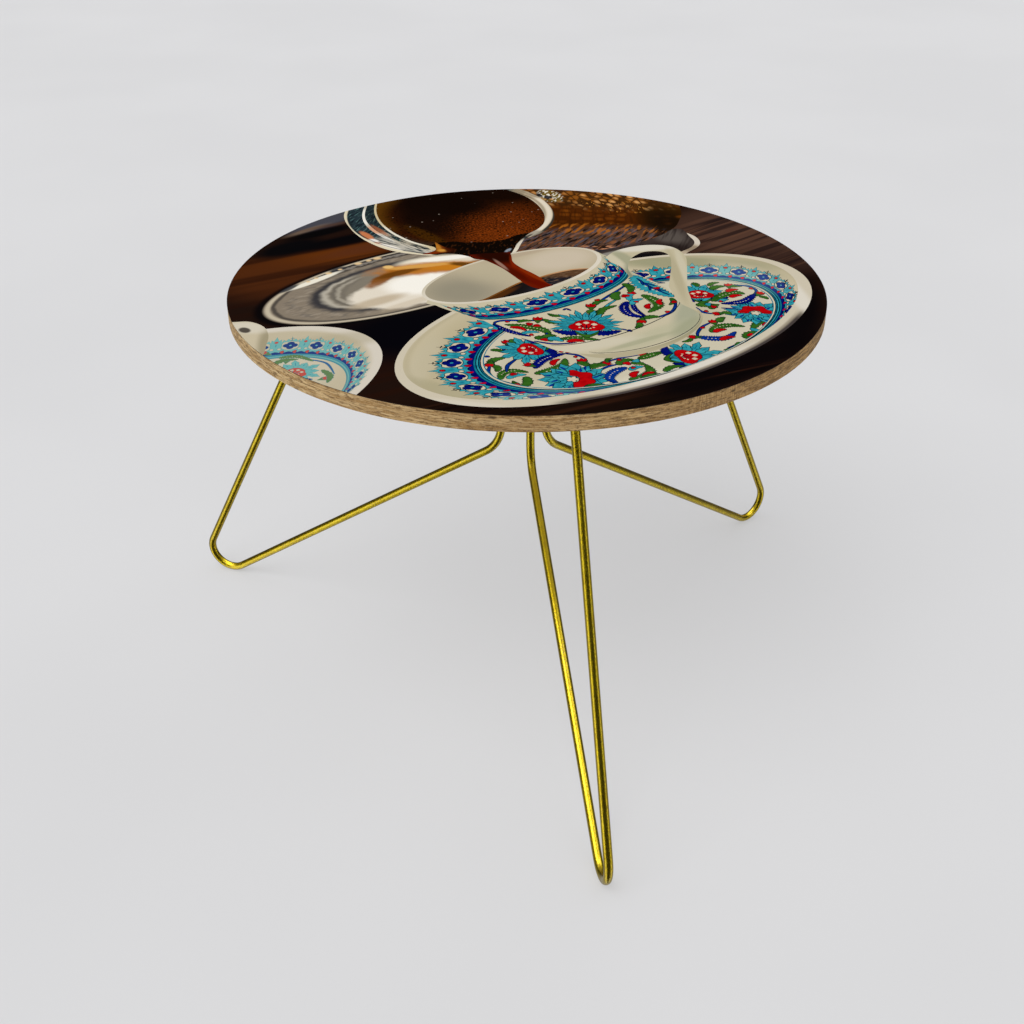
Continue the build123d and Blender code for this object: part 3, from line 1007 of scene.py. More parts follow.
def pot_rim(picture):
    """The rim seen from above: a brushed silver band at the left and a smooth lip at the right."""
    outline = ring(
        (-8, 298), (7.7, 282), (18.7, 260), (26.5, 236), (31, 212), (31, 190), (26.5, 167),
        (18.7, 147.5), (7.7, 134), (-2.3, 123), (-6.7, 105.5), (-10, 88), (-15.5, 72), (-28, 68),
        (-52, 61), (-61, 69), (-74, 75.6), (-87, 77), (-101, 72), (-116, 74.5), (-136, 81), (-156, 94),
        (-174, 114), (-187, 134), (-198, 158), (-207, 185), (-210, 212), (-205, 250), (-180, 310),
        (-100, 345), (-40, 330),
    )
    paint = Print("print_pot_rim", (38, 52, 58))
    paint.strands((84, 118, 116), (0, 0), (16, 2.6), 76, 0.52, 0.64, 0.7)
    paint.strands((14, 22, 28), (5, 3), (20, 3), 70, 0.5, 0.62, 0.8)
    silver = paint.near((-104, 78), (84, 40), -26, 1.1, 0.8)
    paint.strands((188, 182, 168), (3, 9), (30, 4), -38, 0.3, 0.5, 0.95, mask=silver)
    paint.strands((48, 56, 62), (7, 2), (26, 2.4), -36, 0.52, 0.62, 0.85, mask=silver)
    paint.dab((206, 124, 78), (-176, 132), (17, 4.5), -60, 0.6, 0.9, wobble=0.25, grain=0.1)
    paint.dab((236, 230, 222), (-167, 117), (7, 4), -45, 0.6, 0.95, wobble=0.25, grain=0.1)
    paint.dab((216, 150, 112), (-160, 106), (9, 3), -50, 0.7, 0.8, wobble=0.25, grain=0.1)
    paint.dab((238, 232, 220), (-147, 97), (17, 4), -38, 0.5, 0.95)
    paint.hoop((226, 214, 184), *POT_RIM, 0.985, 1.05, 0.006, 0.95)
    paint.hoop((30, 36, 40), *POT_RIM, 0.965, 0.975, 0.006, 0.8)
    paint_pot_lip(paint)
    return picture.add(outline, paint.done())


def paint_pot_lip(paint):
    """The far lip, on the right, is smooth: bright along its middle, with a dark line outside."""
    far_lip = paint.near((26, 212), (34, 96), 0, 1.1, 1.0)
    paint.dab((216, 202, 176), (20, 212), (34, 98), 0, 0.1, 1.0)
    paint.hoop((150, 138, 116), *POT_LIP, 0.90, 0.934, 0.012, 0.8, mask=far_lip)
    paint.hoop((226, 217, 200), *POT_LIP, 0.948, 0.972, 0.02, 0.9, mask=far_lip)
    paint.dab((164, 148, 122), (2, 288), (22, 26), -40, 0.7, 0.85)
    corner = paint.near((2, 284), (26, 24), 0, 1.1, 0.7)
    paint.strands((120, 104, 82), (0, 0), (60, 2.4), -52, 0.54, 0.64, 0.7, mask=corner)
    paint.hoop((16, 11, 8), *POT_LIP, 0.990, 1.03, 0.008, 0.95, mask=far_lip)
    paint.dab((148, 140, 124), (8, 142), (7, 12), -38, 0.8, 0.8)
    paint.dab((46, 40, 38), (-2, 128), (2.2, 15), -34, 0.6, 0.85)
    paint.dab((222, 212, 192), (-11, 96), (3, 28), -14, 0.5, 0.9)


def pot_rings(picture, rim):
    """Inside the rim, from the outside in: a bright ring, a dark throat and the pale inner lip."""
    paint = Print("print_pot_ring", (198, 190, 172))
    paint.dab((240, 236, 224), (-185, 196), (8, 26), 10, 0.6, 0.95)
    paint.dab((216, 150, 110), (-170, 150), (8, 14), 30, 0.7, 0.8)
    paint.dab((236, 232, 222), (-158, 124), (6, 20), 38, 0.6, 0.9)
    below = paint.near((-136, 104), (44, 26), -42, 1.1, 0.8)
    paint.strands((70, 74, 74), (4, 7), (22, 2.2), -44, 0.52, 0.62, 0.8, mask=below)
    picture.add(ring(
        (-187.5, 250), (-189.4, 231), (-189, 203), (-184.4, 177), (-175, 153), (-161, 131),
        (-144, 111), (-124, 95), (-105, 85.5), (-98, 90), (-60, 160), (-60, 330), (-150, 320),
    ), paint.done(), (rim,))
    paint = Print("print_pot_throat", (34, 46, 50))
    paint.strands((92, 116, 104), (0, 0), (14, 2.4), 80, 0.54, 0.66, 0.6)
    paint.strands((14, 18, 22), (3, 6), (22, 2.6), 70, 0.5, 0.62, 0.8)
    below = paint.near((-132, 112), (56, 16), -42, 1.2, 0.7)
    paint.strands((178, 168, 148), (3, 2), (20, 2.4), -44, 0.45, 0.6, 0.9, mask=below)
    paint.dab((168, 96, 60), (-164, 150), (3, 20), 32, 0.8, 0.7)
    picture.add(ring(
        (-184, 250), (-186.5, 231), (-186, 203), (-181, 178), (-171, 155), (-157, 133), (-140, 113.5),
        (-121, 98), (-104, 89), (-96, 94), (-60, 160), (-60, 330), (-150, 320),
    ), paint.done(), (rim,))

    paint = Print("print_pot_inner_lip", (206, 190, 152))
    paint.dab((232, 226, 208), (-140, 132), (8, 44), 40, 0.8, 0.9)
    picture.add(ring(
        (-176, 262), (-178, 238), (-176, 212), (-170, 185), (-161, 161), (-147, 136), (-127, 112),
        (-109, 99), (-96, 91), (-60, 160), (-60, 330), (-150, 320),
    ), paint.done(), (rim,))


def pot_inside(picture, rim):
    """The froth and the bare wall inside the pot."""
    outline = ring(
        (-174, 262), (-175.5, 238), (-173.5, 212), (-167.5, 186), (-158.5, 163), (-144.5, 138.5),
        (-125, 115), (-107, 102), (-99, 96), (-97, 84), (-103, 78), (-98, 73.5), (-87, 76),
        (-74, 74.5), (-61, 68), (-52, 60), (-40, 56), (-22, 64), (-17, 76), (-13.5, 92), (-10, 110),
        (-3.4, 128), (3.3, 143), (12, 156), (18.7, 174), (20.5, 194), (18.7, 216), (12, 242.5),
        (1, 267), (-12, 284.5), (-25.5, 297), (-60, 330), (-140, 320),
    )
    paint = Print("print_foam", (58, 24, 5), mottle=0.1)
    paint.dab((98, 40, 8), (-18, 168), (44, 62), -8, 1.1, 0.95)
    paint.dab((122, 52, 10), (-30, 136), (42, 20), 14, 1.2, 0.6)
    paint.dab((11, 6, 4), (-100, 246), (62, 56), -16, 0.8, 0.97)
    paint.dab((18, 8, 4), (-40, 284), (56, 30), -18, 0.9, 0.95)
    paint.dab((16, 8, 5), (-112, 180), (34, 56), 26, 0.9, 0.9)
    paint.dab((70, 40, 4), (-110, 132), (40, 9), -52, 0.9, 0.8)
    grains = paint.noise(0.42, 3.0, 0.7)
    paint.cover(paint.rise(grains, 0.48, 0.62, 0.0, 0.85), (20, 7, 2))
    foam = paint.near((-30, 160), (62, 66), -8, 1.2, 0.4)
    warm = paint.times(paint.rise(grains, 0.47, 0.34, 0.0, 0.6), foam)
    paint.cover(warm, (168, 76, 18))
    froth = paint.cells(0.16, paint.local((2, 7)))
    paint.cover(paint.rise(froth, 0.3, 0.18, 0.0, 0.85), (14, 6, 3))
    glitter = paint.cells(0.07, paint.local((1, 2)))
    paint.cover(paint.rise(glitter, 0.1, 0.05, 0.0, 0.8), (150, 136, 124))
    # the bare inner wall beside the near lip: gold brown above, grey below
    gold_side = paint.near((-164, 214), (30, 74), 12, 1.1, 0.7)
    paint.hoop((98, 62, 12), *POT_WALL, 0.74, 0.9, 0.14, 0.9, mask=gold_side)
    grey_side = paint.near((-124, 118), (44, 26), -46, 1.1, 0.7)
    paint.hoop((54, 46, 36), *POT_WALL, 0.80, 0.9, 0.08, 0.85, mask=grey_side)
    return picture.add(outline, paint.done(), (rim,))


def pot_spout(picture, rim, foam):
    """The dark coffee that runs out over the lip, and the lip's gold reflection."""
    paint = Print("print_dark_coffee", (13, 7, 4), mottle=0.2)
    paint.dab((64, 22, 5), (-84, 88), (7, 7), -30, 1.2, 0.6)
    paint.dab((64, 14, 4), (-42, 64), (16, 12), 0, 1.0, 0.85)
    paint.dab((150, 160, 172), (-20, 88), (2.4, 7), -24, 0.6, 0.8)
    paint.strands((70, 36, 14), (4, 1), (10, 3), 80, 0.56, 0.68, 0.6)
    picture.add(ring(
        (-97, 110), (-90, 112.5), (-78.5, 115), (-66, 112), (-56, 114), (-46, 113), (-36.5, 116.5),
        (-28, 120), (-21, 125), (-14, 133), (-8, 139), (3, 144), (30, 150), (10, 60), (-30, 40),
        (-60, 50), (-90, 70), (-110, 72), (-112, 90),
    ), paint.done(), (rim, foam))

    lip = Print("print_gold_lip", (104, 48, 12))
    lip.dab((190, 124, 40), (-96, 98), (3, 12), 18, 1.2, 0.8)
    lip.dab((216, 150, 60), (-91, 87), (5, 4), 0, 1.1, 0.85)
    lip.dab((120, 40, 8), (-101, 79), (9, 3), 12, 0.8, 0.9)
    lip.dab((60, 18, 5), (-83, 88), (4, 12), 20, 0.9, 0.9)
    picture.add(ring(
        (-100, 113), (-95, 106), (-89, 98), (-83, 91), (-82, 84), (-92, 79), (-104, 75), (-111, 76),
        (-104, 81), (-98, 88), (-98, 100),
    ), lip.done(), (rim,))


def copper_pot(picture):
    """The tilted pot: hammered copper body, silver base and rims, and the coffee inside it."""
    pot_base(picture)
    pot_body(picture)
    rim = pot_rim(picture)
    pot_rings(picture, rim)
    foam = pot_inside(picture, rim)
    pot_spout(picture, rim, foam)


# ---------------------------------------------------------------- the saucer

SAUCER_CENTRE = point(85.3, -101.9)
SAUCER_WELL_CENTRE = point(101.8, -121.8)
SAUCER_SIZE = (239.5, 131.1)
SAUCER_TILT = 40
SAUCER = (SAUCER_CENTRE, SAUCER_SIZE, SAUCER_TILT)
# The well's radius, and how flat the saucer's rings look, at the rim and how much less at the well.
WELL_PART = 0.749
RING_FLATNESS = 0.547
WELL_FLATTER = 0.014


def saucer_point(turn, part):
    """The picture point at this turn and fraction of the saucer's radius; it dips towards the well."""
    dip = min(max((1 - part) / (1 - WELL_PART), 0), 1)
    centre = SAUCER_CENTRE.lerp(SAUCER_WELL_CENTRE, dip)
    flat = RING_FLATNESS - WELL_FLATTER * dip
    return on_ellipse(centre, (SAUCER_SIZE[0], SAUCER_SIZE[0] * flat), SAUCER_TILT, turn, part)


def saucer_strip(u, v):
    """Where the border's point (u, v) lies on the saucer; its repeats crowd towards the far side."""
    turn = 3.4 + 14.4 * u
    turn -= 3 * (1 - math.cos(math.radians(turn)))
    return saucer_point(turn, WELL_PART + 0.116 * v)


def saucer_ring(part):
    """One of the saucer's rings, at this fraction of its radius."""
    return [saucer_point(turn, part) for turn in range(0, 360, 3)]


def saucer_lip():
    """The saucer's outer lip: pale, with a dark line under its near side."""
    lip = Print("print_saucer_lip", (204, 194, 172))
    lip.dab((222, 216, 204), (120, -226), (110, 8), 38, 0.9, 0.8)
    near = lip.near(SAUCER_CENTRE + ray(SAUCER_TILT - 90) * 130, (190, 60), SAUCER_TILT, 1.1, 0.8)
    lip.hoop((142, 130, 112), *SAUCER, 0.95, 1.1, 0.012, 0.8, mask=near)
    lip.hoop((60, 52, 52), *SAUCER, 0.972, 1.1, 0.012, 0.95, mask=near)
    lip.dab((224, 218, 206), (268, -30), (10, 60), 8, 0.8, 0.7)
    lip.dab((216, 208, 192), (-40, -286), (60, 9), -14, 0.8, 0.6)
    return lip.done()


def saucer(picture, colours):
    """The saucer: its glazed wall, its border, its painted well and the lip round it."""
    paint = Print("print_saucer", (196, 184, 154))
    paint.dab((152, 150, 118), (172, 52), (84, 20), -4, 0.9, 0.9)
    paint.dab((168, 162, 130), (238, 20), (30, 26), -40, 0.9, 0.6)
    paint.dab((206, 194, 168), (235, 0), (26, 60), 30, 0.9, 0.7)
    paint.dab((182, 170, 136), (-62, -170), (30, 86), -14, 0.9, 0.7)
    paint.dab((196, 186, 160), (-92, -200), (12, 60), -10, 0.9, 0.5)
    paint.dab((168, 160, 128), (-58, -262), (50, 10), -36, 0.9, 0.7)
    paint.dab((150, 144, 114), (6, 45), (50, 20), 30, 0.9, 0.6)
    paint.hoop((212, 205, 190), *SAUCER, 0.972, 1.0, 0.012, 0.85)
    paint.hoop((160, 150, 118), *SAUCER, 0.94, 0.965, 0.02, 0.35)
    glaze = paint.done()
    plate = picture.add(saucer_ring(1.0), glaze)
    lip_line = ellipse(SAUCER_CENTRE + ray(SAUCER_TILT + 90) * 5, (229, 121), SAUCER_TILT)
    within = picture.add(lip_line, glaze, (plate,))

    well = Print("print_well", (202, 194, 170))
    well.dab((176, 168, 134), (120, -120), (100, 40), 40, 0.9, 0.6)
    well.dab((188, 176, 144), (10, -200), (26, 40), -10, 0.9, 0.6)
    well.dab((214, 206, 184), (100, -232), (80, 12), 34, 0.9, 0.7)
    well_glaze = well.done()
    picture.add(saucer_ring(WELL_PART), well_glaze, (within,))
    drawing = Ornaments(picture, colours, (within,), line=0.75)
    drawing.lace(saucer_strip, range(-8, 17))
    drawing.flat(saucer_ring(0.699), "teal")
    floor = picture.add(saucer_ring(0.694), well_glaze, (within,))
    flowers = Ornaments(picture, colours, (within, floor))
    flowers_left_of_foot(flowers)
    flowers_in_front_of_foot(flowers)
    flowers_right_of_foot(flowers)
    flowers_behind_foot(flowers)
    picture.add(saucer_ring(1.0), saucer_lip(), (plate,), (within,))


def flowers_left_of_foot(draw):
    """Flowers and scrolls in the saucer's well, to the left of the cup's foot."""
    draw.stem([(-20, -148), (-17, -160), (-22, -172)], 3)
    draw.bud((-17, -154), 20, 5.5)
    draw.leaf((-14, -146), (-16, -168), 7)
    draw.leaf((-32, -170), (-20, -176), 5)
    draw.carnation((2, -170), 125, 31)
    draw.dot((-35, -184.4), 2.4, "blue")
    draw.leaf((-33, -200), (-19, -187), 7)
    draw.bud((-32, -201), 170, 5.5)
    draw.stem([(-32, -205), (-33, -219), (-26.5, -231.6), (-14, -239)], 3.4)
    draw.leaf((-28, -203), (-26, -216), 6)
    draw.leaf((0, -226), (-5, -249), 8)
    draw.bud((-9, -241), 200, 4.5)
    draw.saz([(-22, -232), (-20, -219), (-10, -214), (2, -217)], 7.5)
    draw.leaf((-16, -230), (0, -222), 6, "turquoise")
    draw.dot((-11, -221), 3.4)
    draw.stem([(-9, -190), (-16, -203), (-17, -216)], 3)
    draw.saz([(8, -209), (13, -194), (22, -184), (35, -177)], 9, "cobalt")
    draw.stem([(34, -177), (46, -180), (54, -189)], 2.2)
    draw.bud((3, -202), 60, 4.6)
    draw.saz([(8, -220), (22, -213), (33, -202), (35, -188)], 10)
    draw.leaf((24, -202), (30, -189), 5, "red")
    for spot in ((32, -173), (38, -174), (44.5, -184)):
        draw.dot(spot, 2)


def flowers_in_front_of_foot(draw):
    """The nearest flowers, below the cup's foot in the picture."""
    draw.bud((50.6, -194), 10, 5.5)
    draw.leaf((46, -196), (56, -206), 7)
    draw.stem([(62, -216), (72, -205), (83, -199)], 2.2)
    draw.bud((70, -198), -60, 5.5)
    draw.leaf((56, -208), (72, -201), 8)
    draw.leaf((73, -196), (78, -184), 4)
    draw.tulip((43, -230), -20, 33)
    draw.saz([(89, -206), (78, -215), (73, -228), (80, -240)], 9, "blue")
    draw.stem([(80, -240), (88, -240), (96, -236)], 2.2)
    draw.leaf((92, -212), (104, -204), 6, "turquoise")
    draw.dot((95, -206.5), 2.4)
    draw.saz([(90, -231), (102, -226), (110, -214), (106, -199)], 10)
    draw.leaf((94, -226), (99, -214), 6, "red")
    draw.leaf((104, -226), (113, -215), 6, "red")
    draw.leaf((82, -201), (96, -189), 8)
    draw.leaf((94, -197), (106, -201), 6)
    draw.dot((90, -197.5), 4)
    draw.dot((98.6, -192), 4, "turquoise")
    draw.stem([(74, -193), (87, -185), (105, -178)], 2.2)
    draw.dot((83.5, -190), 2.4)
    draw.bud((107, -178), 60, 5.2)
    draw.saz([(101, -188), (112, -180), (124, -172)], 7.5)
    draw.carnation((148, -181), -70, 33)
    draw.leaf((122, -214), (140, -202), 6)
    draw.dot((129, -216), 3.6)
    draw.leaf((100, -231), (122, -220), 5)
    draw.leaf((51, -248), (68, -243), 6)
    draw.bud((73, -243), -100, 4.4)


def flowers_right_of_foot(draw):
    """The flowers and scrolls to the right of the cup's foot."""
    draw.stem([(176, -104), (166, -115), (160, -130), (160, -138)], 2.4)
    draw.bud((178, -104), 10, 5)
    draw.leaf((184, -104), (190, -92), 7)
    draw.saz([(159, -138), (172, -142), (186, -140), (196, -126)], 9, "blue")
    draw.saz([(173, -128), (180, -116), (193, -111), (206, -114)], 9)
    draw.leaf((176, -128), (188, -121), 6, "red")
    draw.bud((156, -139), 90, 5)
    draw.leaf((180, -146), (194, -138), 6, "red")
    draw.dot((166, -117), 2.6)
    draw.leaf((153, -142), (144, -150), 4)
    draw.leaf((213, -119), (236, -98), 7)
    draw.leaf((224, -112), (236, -103), 4, "red")
    draw.dot((214, -122), 5, "turquoise")
    draw.leaf((204, -142), (218, -126), 10)
    draw.dot((209, -133), 4)
    draw.stem([(230, -112), (223, -128), (206, -144), (184, -163)], 2.2)
    draw.leaf((196, -150), (180, -168), 5)
    draw.tulip((221, -79), 60, 30)


def flowers_behind_foot(draw):
    """The farthest flowers, and a short scroll between the cup and its handle."""
    draw.stem([(190, -69), (206, -72)], 2)
    draw.leaf((166, -62), (186, -68), 10)
    draw.leaf((180, -72), (188, -60), 7)
    draw.dot((178, -60), 4, "turquoise")
    draw.dot((182.5, -66), 3.6)
    draw.stem([(165, -68), (171, -80), (182, -84)], 2.4)
    draw.dot((174, -77), 2.4)
    draw.bud((185, -83), 100, 5)
    draw.leaf((189, -80), (197, -85), 6)
    draw.carnation((172, -33), 5, 31)
    draw.leaf((184, -12), (195, -2), 5)
    draw.leaf((168, -4), (172, -14), 6)
    draw.leaf((185, -22), (200, -12), 7)
    draw.bud((204, -11), 0, 5)
    draw.leaf((206, -14), (217, -12), 6)
    draw.stem([(210, -9), (223, -12), (230, -23), (226, -34)], 2.6)
    draw.saz([(227, -33), (216, -50), (204, -56), (191, -58)], 9, "cobalt")
    draw.saz([(183, -52), (195, -36), (209, -29), (217, -33)], 9.5)
    draw.leaf((200, -27), (212, -21), 6, "red")
    draw.leaf((202, -42), (214, -36), 6, "red")
    draw.leaf((190, -54), (199, -47), 6, "turquoise")
    draw.dot((191, -52), 2.2)
    draw.dot((225.6, -18), 2.6)
    draw.bud((232, -32), -30, 5)
    draw.leaf((231, -39), (238, -46), 5)
    draw.stem([(118, -6), (130, -4), (140, -4)], 2.6, "cobalt")
    draw.dot((158, -16), 3)


# ---------------------------------------------------------------- the cup

CUP_TILT = 40
CUP_RIM_CENTRE = point(-12.5, 18.7)
CUP_RIM_SIZE = (110.2, 53)
# Rings down the cup from its rim to its foot: how far along its axis, half width, half depth, offset.
CUP_RINGS = (
    (0, 110.2, 53, 0),
    (53, 101.4, 39.2, -2),
    (100, 97, 36, -3),
    (149.4, 87.6, 31.8, -3.6),
    (172, 74, 34, 0),
    (183, 75.3, 42, 2),
)


def cup_point(turn, level):
    """The picture point on the cup's near wall: turn 0 at its left side and 180 at its right."""
    band = min(int(max(level, 0)), len(CUP_RINGS) - 2)
    low, high = CUP_RINGS[band], CUP_RINGS[band + 1]
    down, half, depth, offset = (a + (b - a) * (level - band) for a, b in zip(low, high))
    axis, side = ray(CUP_TILT - 90), ray(CUP_TILT)
    return CUP_RIM_CENTRE + side * (offset - half * ray(turn).x) + axis * (down + depth * ray(turn).y)


def cup_strip(u, v):
    """Where the border's point (u, v) lies on the cup; it hangs down from the rim."""
    return cup_point(23.5 + 25 * u, 0.93 - 0.66 * v)


def cup_wall(picture, colours):
    """The cup's foot on the saucer, and its white wall with the border and the flowers."""
    foot_shade = Print("print_foot_shadow", (178, 168, 138))
    foot_shade.dab((150, 146, 114), (140, -130), (40, 12), 46, 0.9, 0.8)
    picture.add(ellipse((105, -121), (80, 45), 46), foot_shade.done())

    wall = Print("print_cup_wall", (198, 188, 160))
    wall.dab((206, 196, 166), (10, -110), (60, 26), -40, 0.9, 0.6)
    wall.dab((150, 156, 132), (158, -74), (12, 62), -14, 1.0, 0.7)
    wall.dab((180, 178, 148), (120, -136), (50, 12), 44, 1.0, 0.6)
    wall.dab((154, 156, 126), (154, -112), (30, 8), 56, 1.0, 0.6)
    wall.dab((208, 200, 178), (60, -158), (46, 10), 22, 0.9, 0.7)
    wall.dab((160, 160, 130), (104, -150), (40, 4), 34, 0.9, 0.6)
    wall.dab((150, 150, 124), (96, 40), (8, 40), 20, 0.9, 0.6)
    body = ring(
        (-97, -52), (-88, -66), (-71, -81), (-54, -92), (-44, -99.5), (-35, -109), (-22, -126),
        (-9.5, -139), (3, -148), (11, -154), (19, -163), (28, -170), (44, -176), (64, -178),
        (92, -172), (118, -160), (142, -140), (158, -118), (166, -98), (167, -85), (163, -76),
        (155, -57), (147, -36), (140, -16), (126, 4), (112, 22), (103, 38), (96, 56), (84, 74),
        (60, 92), (10, 60), (-60, 20),
    )
    outside = picture.add(body, wall.done())
    draw = Ornaments(picture, colours, (outside,))
    flowers_on_cup_left(draw)
    flowers_on_cup_right(draw)
    leaf_under_handle(draw)
    for level, width in ((3.0, 1.3), (4.7, 1.0), (4.9, 0.8)):
        line = [cup_point(t, level) for t in range(18, 176, 6)]
        draw.flat(stroke(line[::2], width, tip=0.5), "ink")
    draw.lace(cup_strip, range(-1, 6), start=-0.76)


def cup_opening(picture):
    """The cup's rim, its shaded inside and the coffee in it."""
    rim = Print("print_cup_rim", (206, 196, 174))
    rim.dab((222, 214, 198), (-60, -40), (60, 20), 10, 0.9, 0.7)
    rim.dab((222, 214, 198), (70, 40), (20, 50), -20, 0.9, 0.7)
    picture.add(ellipse(CUP_RIM_CENTRE, CUP_RIM_SIZE, CUP_TILT - 1), rim.done())
    inside = Print("print_cup_inside", (188, 174, 146))
    inside.dab((140, 134, 116), (-66, -30), (44, 40), -30, 1.5, 0.85)
    inside.dab((182, 172, 144), (-30, 26), (30, 30), 40, 1.2, 0.6)
    inside.dab((202, 188, 166), (34, 62), (40, 26), 36, 0.9, 0.9)
    inside.dab((176, 158, 134), (0, 84), (50, 8), 36, 0.9, 0.7)
    hollow = picture.add(ellipse(CUP_RIM_CENTRE + point(-0.6, 0.6), (106, 49), CUP_TILT - 1), inside.done())

    coffee = Print("print_coffee", (23, 20, 20))
    coffee.dab((34, 32, 40), (30, -8), (36, 14), 44, 0.9, 0.8)
    coffee.dab((96, 66, 42), (48, 22), (32, 8), 16, 0.9, 0.85, wobble=0.5, grain=0.12)
    froth = coffee.near((36, 14), (44, 16), 34, 1.2, 0.5)
    coffee.strands((118, 92, 70), (2, 3), (7, 2.4), 30, 0.52, 0.66, 0.7, mask=froth)
    coffee.dab((84, 46, 14), (-26, -38), (5, 26), -38, 0.9, 0.8)
    edge = Print("print_coffee_edge", (150, 96, 44))
    edge.dab((196, 150, 108), (40, 30), (30, 6), 24, 0.9, 0.9)
    edge.dab((104, 62, 20), (-30, -34), (8, 30), -40, 0.9, 0.8)
    surface = (
        (-48, -60), (-39.5, -50.5), (-25.3, -31.6), (-12.6, -14.2), (-3.2, -3.2), (6, 4), (15.8, 9.5),
        (26.8, 18.9), (42.6, 28.4), (53.7, 32.4), (66, 33), (84, 30), (90, -30), (20, -80), (-40, -80),
    )
    picture.add(ring(*((x - 1.2, y + 2.6) for x, y in surface)), edge.done(), (hollow,))
    picture.add(ring(*surface), coffee.done(), (hollow,))


def flowers_on_cup_left(draw):
    """The scroll at the cup's left and the large flower at its middle."""
    draw.stem([(16, -102), (-4, -102), (-20, -102), (-29, -106), (-30, -113)], 3)
    draw.saz([(-31, -111), (-22, -122), (-9, -132), (4, -139)], 5.5, "cobalt")
    draw.saz([(22, -134), (16, -124), (4, -118), (-8, -114), (-20, -112)], 9)
    draw.dot((3, -110.5), 4)
    draw.dot((10, -114), 4)
    draw.leaf((-15, -118), (0, -126), 5, "red")
    draw.bud((11, -100), 0, 5.5)
    draw.leaf((-8, -106), (5, -103), 5)
    draw.leaf((34, -106), (16, -98), 7)
    draw.dot((-18, -105), 2.2)
    draw.leaf((-4, -133), (12, -130), 5, "turquoise")
    draw.dot((5, -135.5), 2.4)
    draw.stem([(20, -141), (19, -131)], 2.6)
    draw.leaf((8, -142), (24, -150), 9)
    draw.leaf((16, -140), (28, -138), 6)
    draw.dot((17, -146.5), 4)
    draw.leaf((20, -144), (34, -150), 8, "turquoise")
    draw.stem([(8, -150), (26, -156), (46, -153)], 2)
    draw.saz([(32, -145), (48, -142), (68, -147)], 7)
    draw.leaf((38, -151), (54, -150), 6, "red")
    draw.leaf((34, -90), (21, -85), 5)
    draw.stem([(36, -76), (39, -73), (43, -77)], 2.4, "cobalt")
    draw.stem([(66, -66), (77, -46), (92, -24), (104, -4)], 2.2)
    draw.stem([(70, -82), (80, -62), (92, -44)], 2.2, "turquoise")
    draw.leaf((70, -90), (88, -64), 7)
    draw.leaf((66, -64), (80, -50), 6)
    draw.dot((70, -50), 2.8)
    draw.bud((63, -67), 0, 6)
    draw.leaf((60, -76), (63, -90), 9)
    draw.carnation((57, -112), 0, 37, petals=17, spread=244)
    draw.stem([(90, -121), (95, -124)], 1.6)
    draw.dot((97, -125), 2.6, "cobalt")


def flowers_on_cup_right(draw):
    """The scroll at the cup's right, and the leaves that hang above it."""
    draw.leaf((90, -50), (93, -28), 9)
    draw.leaf((103, -52), (108, -30), 6, "turquoise")
    draw.dot((98, -39), 4.6)
    draw.dot((105, -31), 4.6)
    draw.leaf((98, -6), (103, -30), 8)
    draw.saz([(99, -54), (95, -70), (100, -86), (115, -94)], 9, "cobalt")
    draw.saz([(104, -58), (106, -74), (115, -92)], 4.5, "cobalt")
    draw.stem([(112, -94), (128, -91), (141, -78), (146, -60), (144, -48)], 2.6)
    draw.saz([(115, -36), (125, -48), (129, -64), (118, -81)], 10.5)
    draw.leaf((119, -72), (121, -59), 5, "red")
    draw.leaf((132, -61), (133, -47), 5, "red")
    draw.leaf((103, -62), (115, -46), 6, "turquoise")
    draw.dot((108, -54), 2.4)
    draw.leaf((143, -44), (140, -62), 5)
    draw.dot((145, -54), 3.6)
    draw.dot((136.5, -79), 2.8)
    draw.leaf((113, -96), (128, -92), 7)
    draw.bud((110, -101), 170, 5.5)
    draw.leaf((107, -106), (103, -119), 6)


def leaf_under_handle(draw):
    """A long turquoise leaf with blue veins, under the handle's foot."""
    draw.saz([(110, 16), (118, -8), (131, -26), (146, -41)], 19, "turquoise", teeth=9)
    draw.stem([(113, 8), (124, -14), (142, -36)], 2.0, "blue")
    veins = (
        ((116, 4), (118, -10)),
        ((120, -4), (130, -12)),
        ((124, -12), (124, -24)),
        ((130, -20), (140, -26)),
    )
    for base, tip in veins:
        draw.stem([base, tip], 1.6, "blue")
    draw.dot((131, -18), 3.6)


# ---------------------------------------------------------------- stream and handle

def stream(picture):
    """Coffee falling from the pot into the cup."""
    paint = Print("print_stream", (104, 22, 2))
    paint.dab((30, 8, 3), (-34, 72), (30, 18), -40, 0.9, 0.95)
    paint.dab((66, 12, 2), (-12, 22), (30, 5), -58, 0.9, 0.7)
    paint.dab((136, 44, 6), (8, 14), (28, 3.5), -54, 0.9, 0.8)
    paint.dab((128, 34, 4), (-14, 56), (3.5, 18), 6, 0.8, 0.8)
    paint.dab((156, 120, 104), (-27, 46), (16, 2.2), -64, 0.8, 0.85)
    paint.dab((92, 12, 2), (16, -10), (20, 6), -50, 0.9, 0.7)
    left = smooth([
        (-62, 74), (-52, 62), (-44, 58), (-38, 52), (-25, 35), (-12.6, 12.6), (-3.2, -4.7),
        (4.7, -15.8), (13.4, -22),
    ])
    right = smooth([
        (27, -12), (20.5, -4.7), (14.2, 9.5), (4.7, 23.7), (-6.3, 37.9), (-14.2, 53.7),
        (-15.8, 67.9), (-17.4, 84),
    ])
    picture.add(left + right, paint.done())


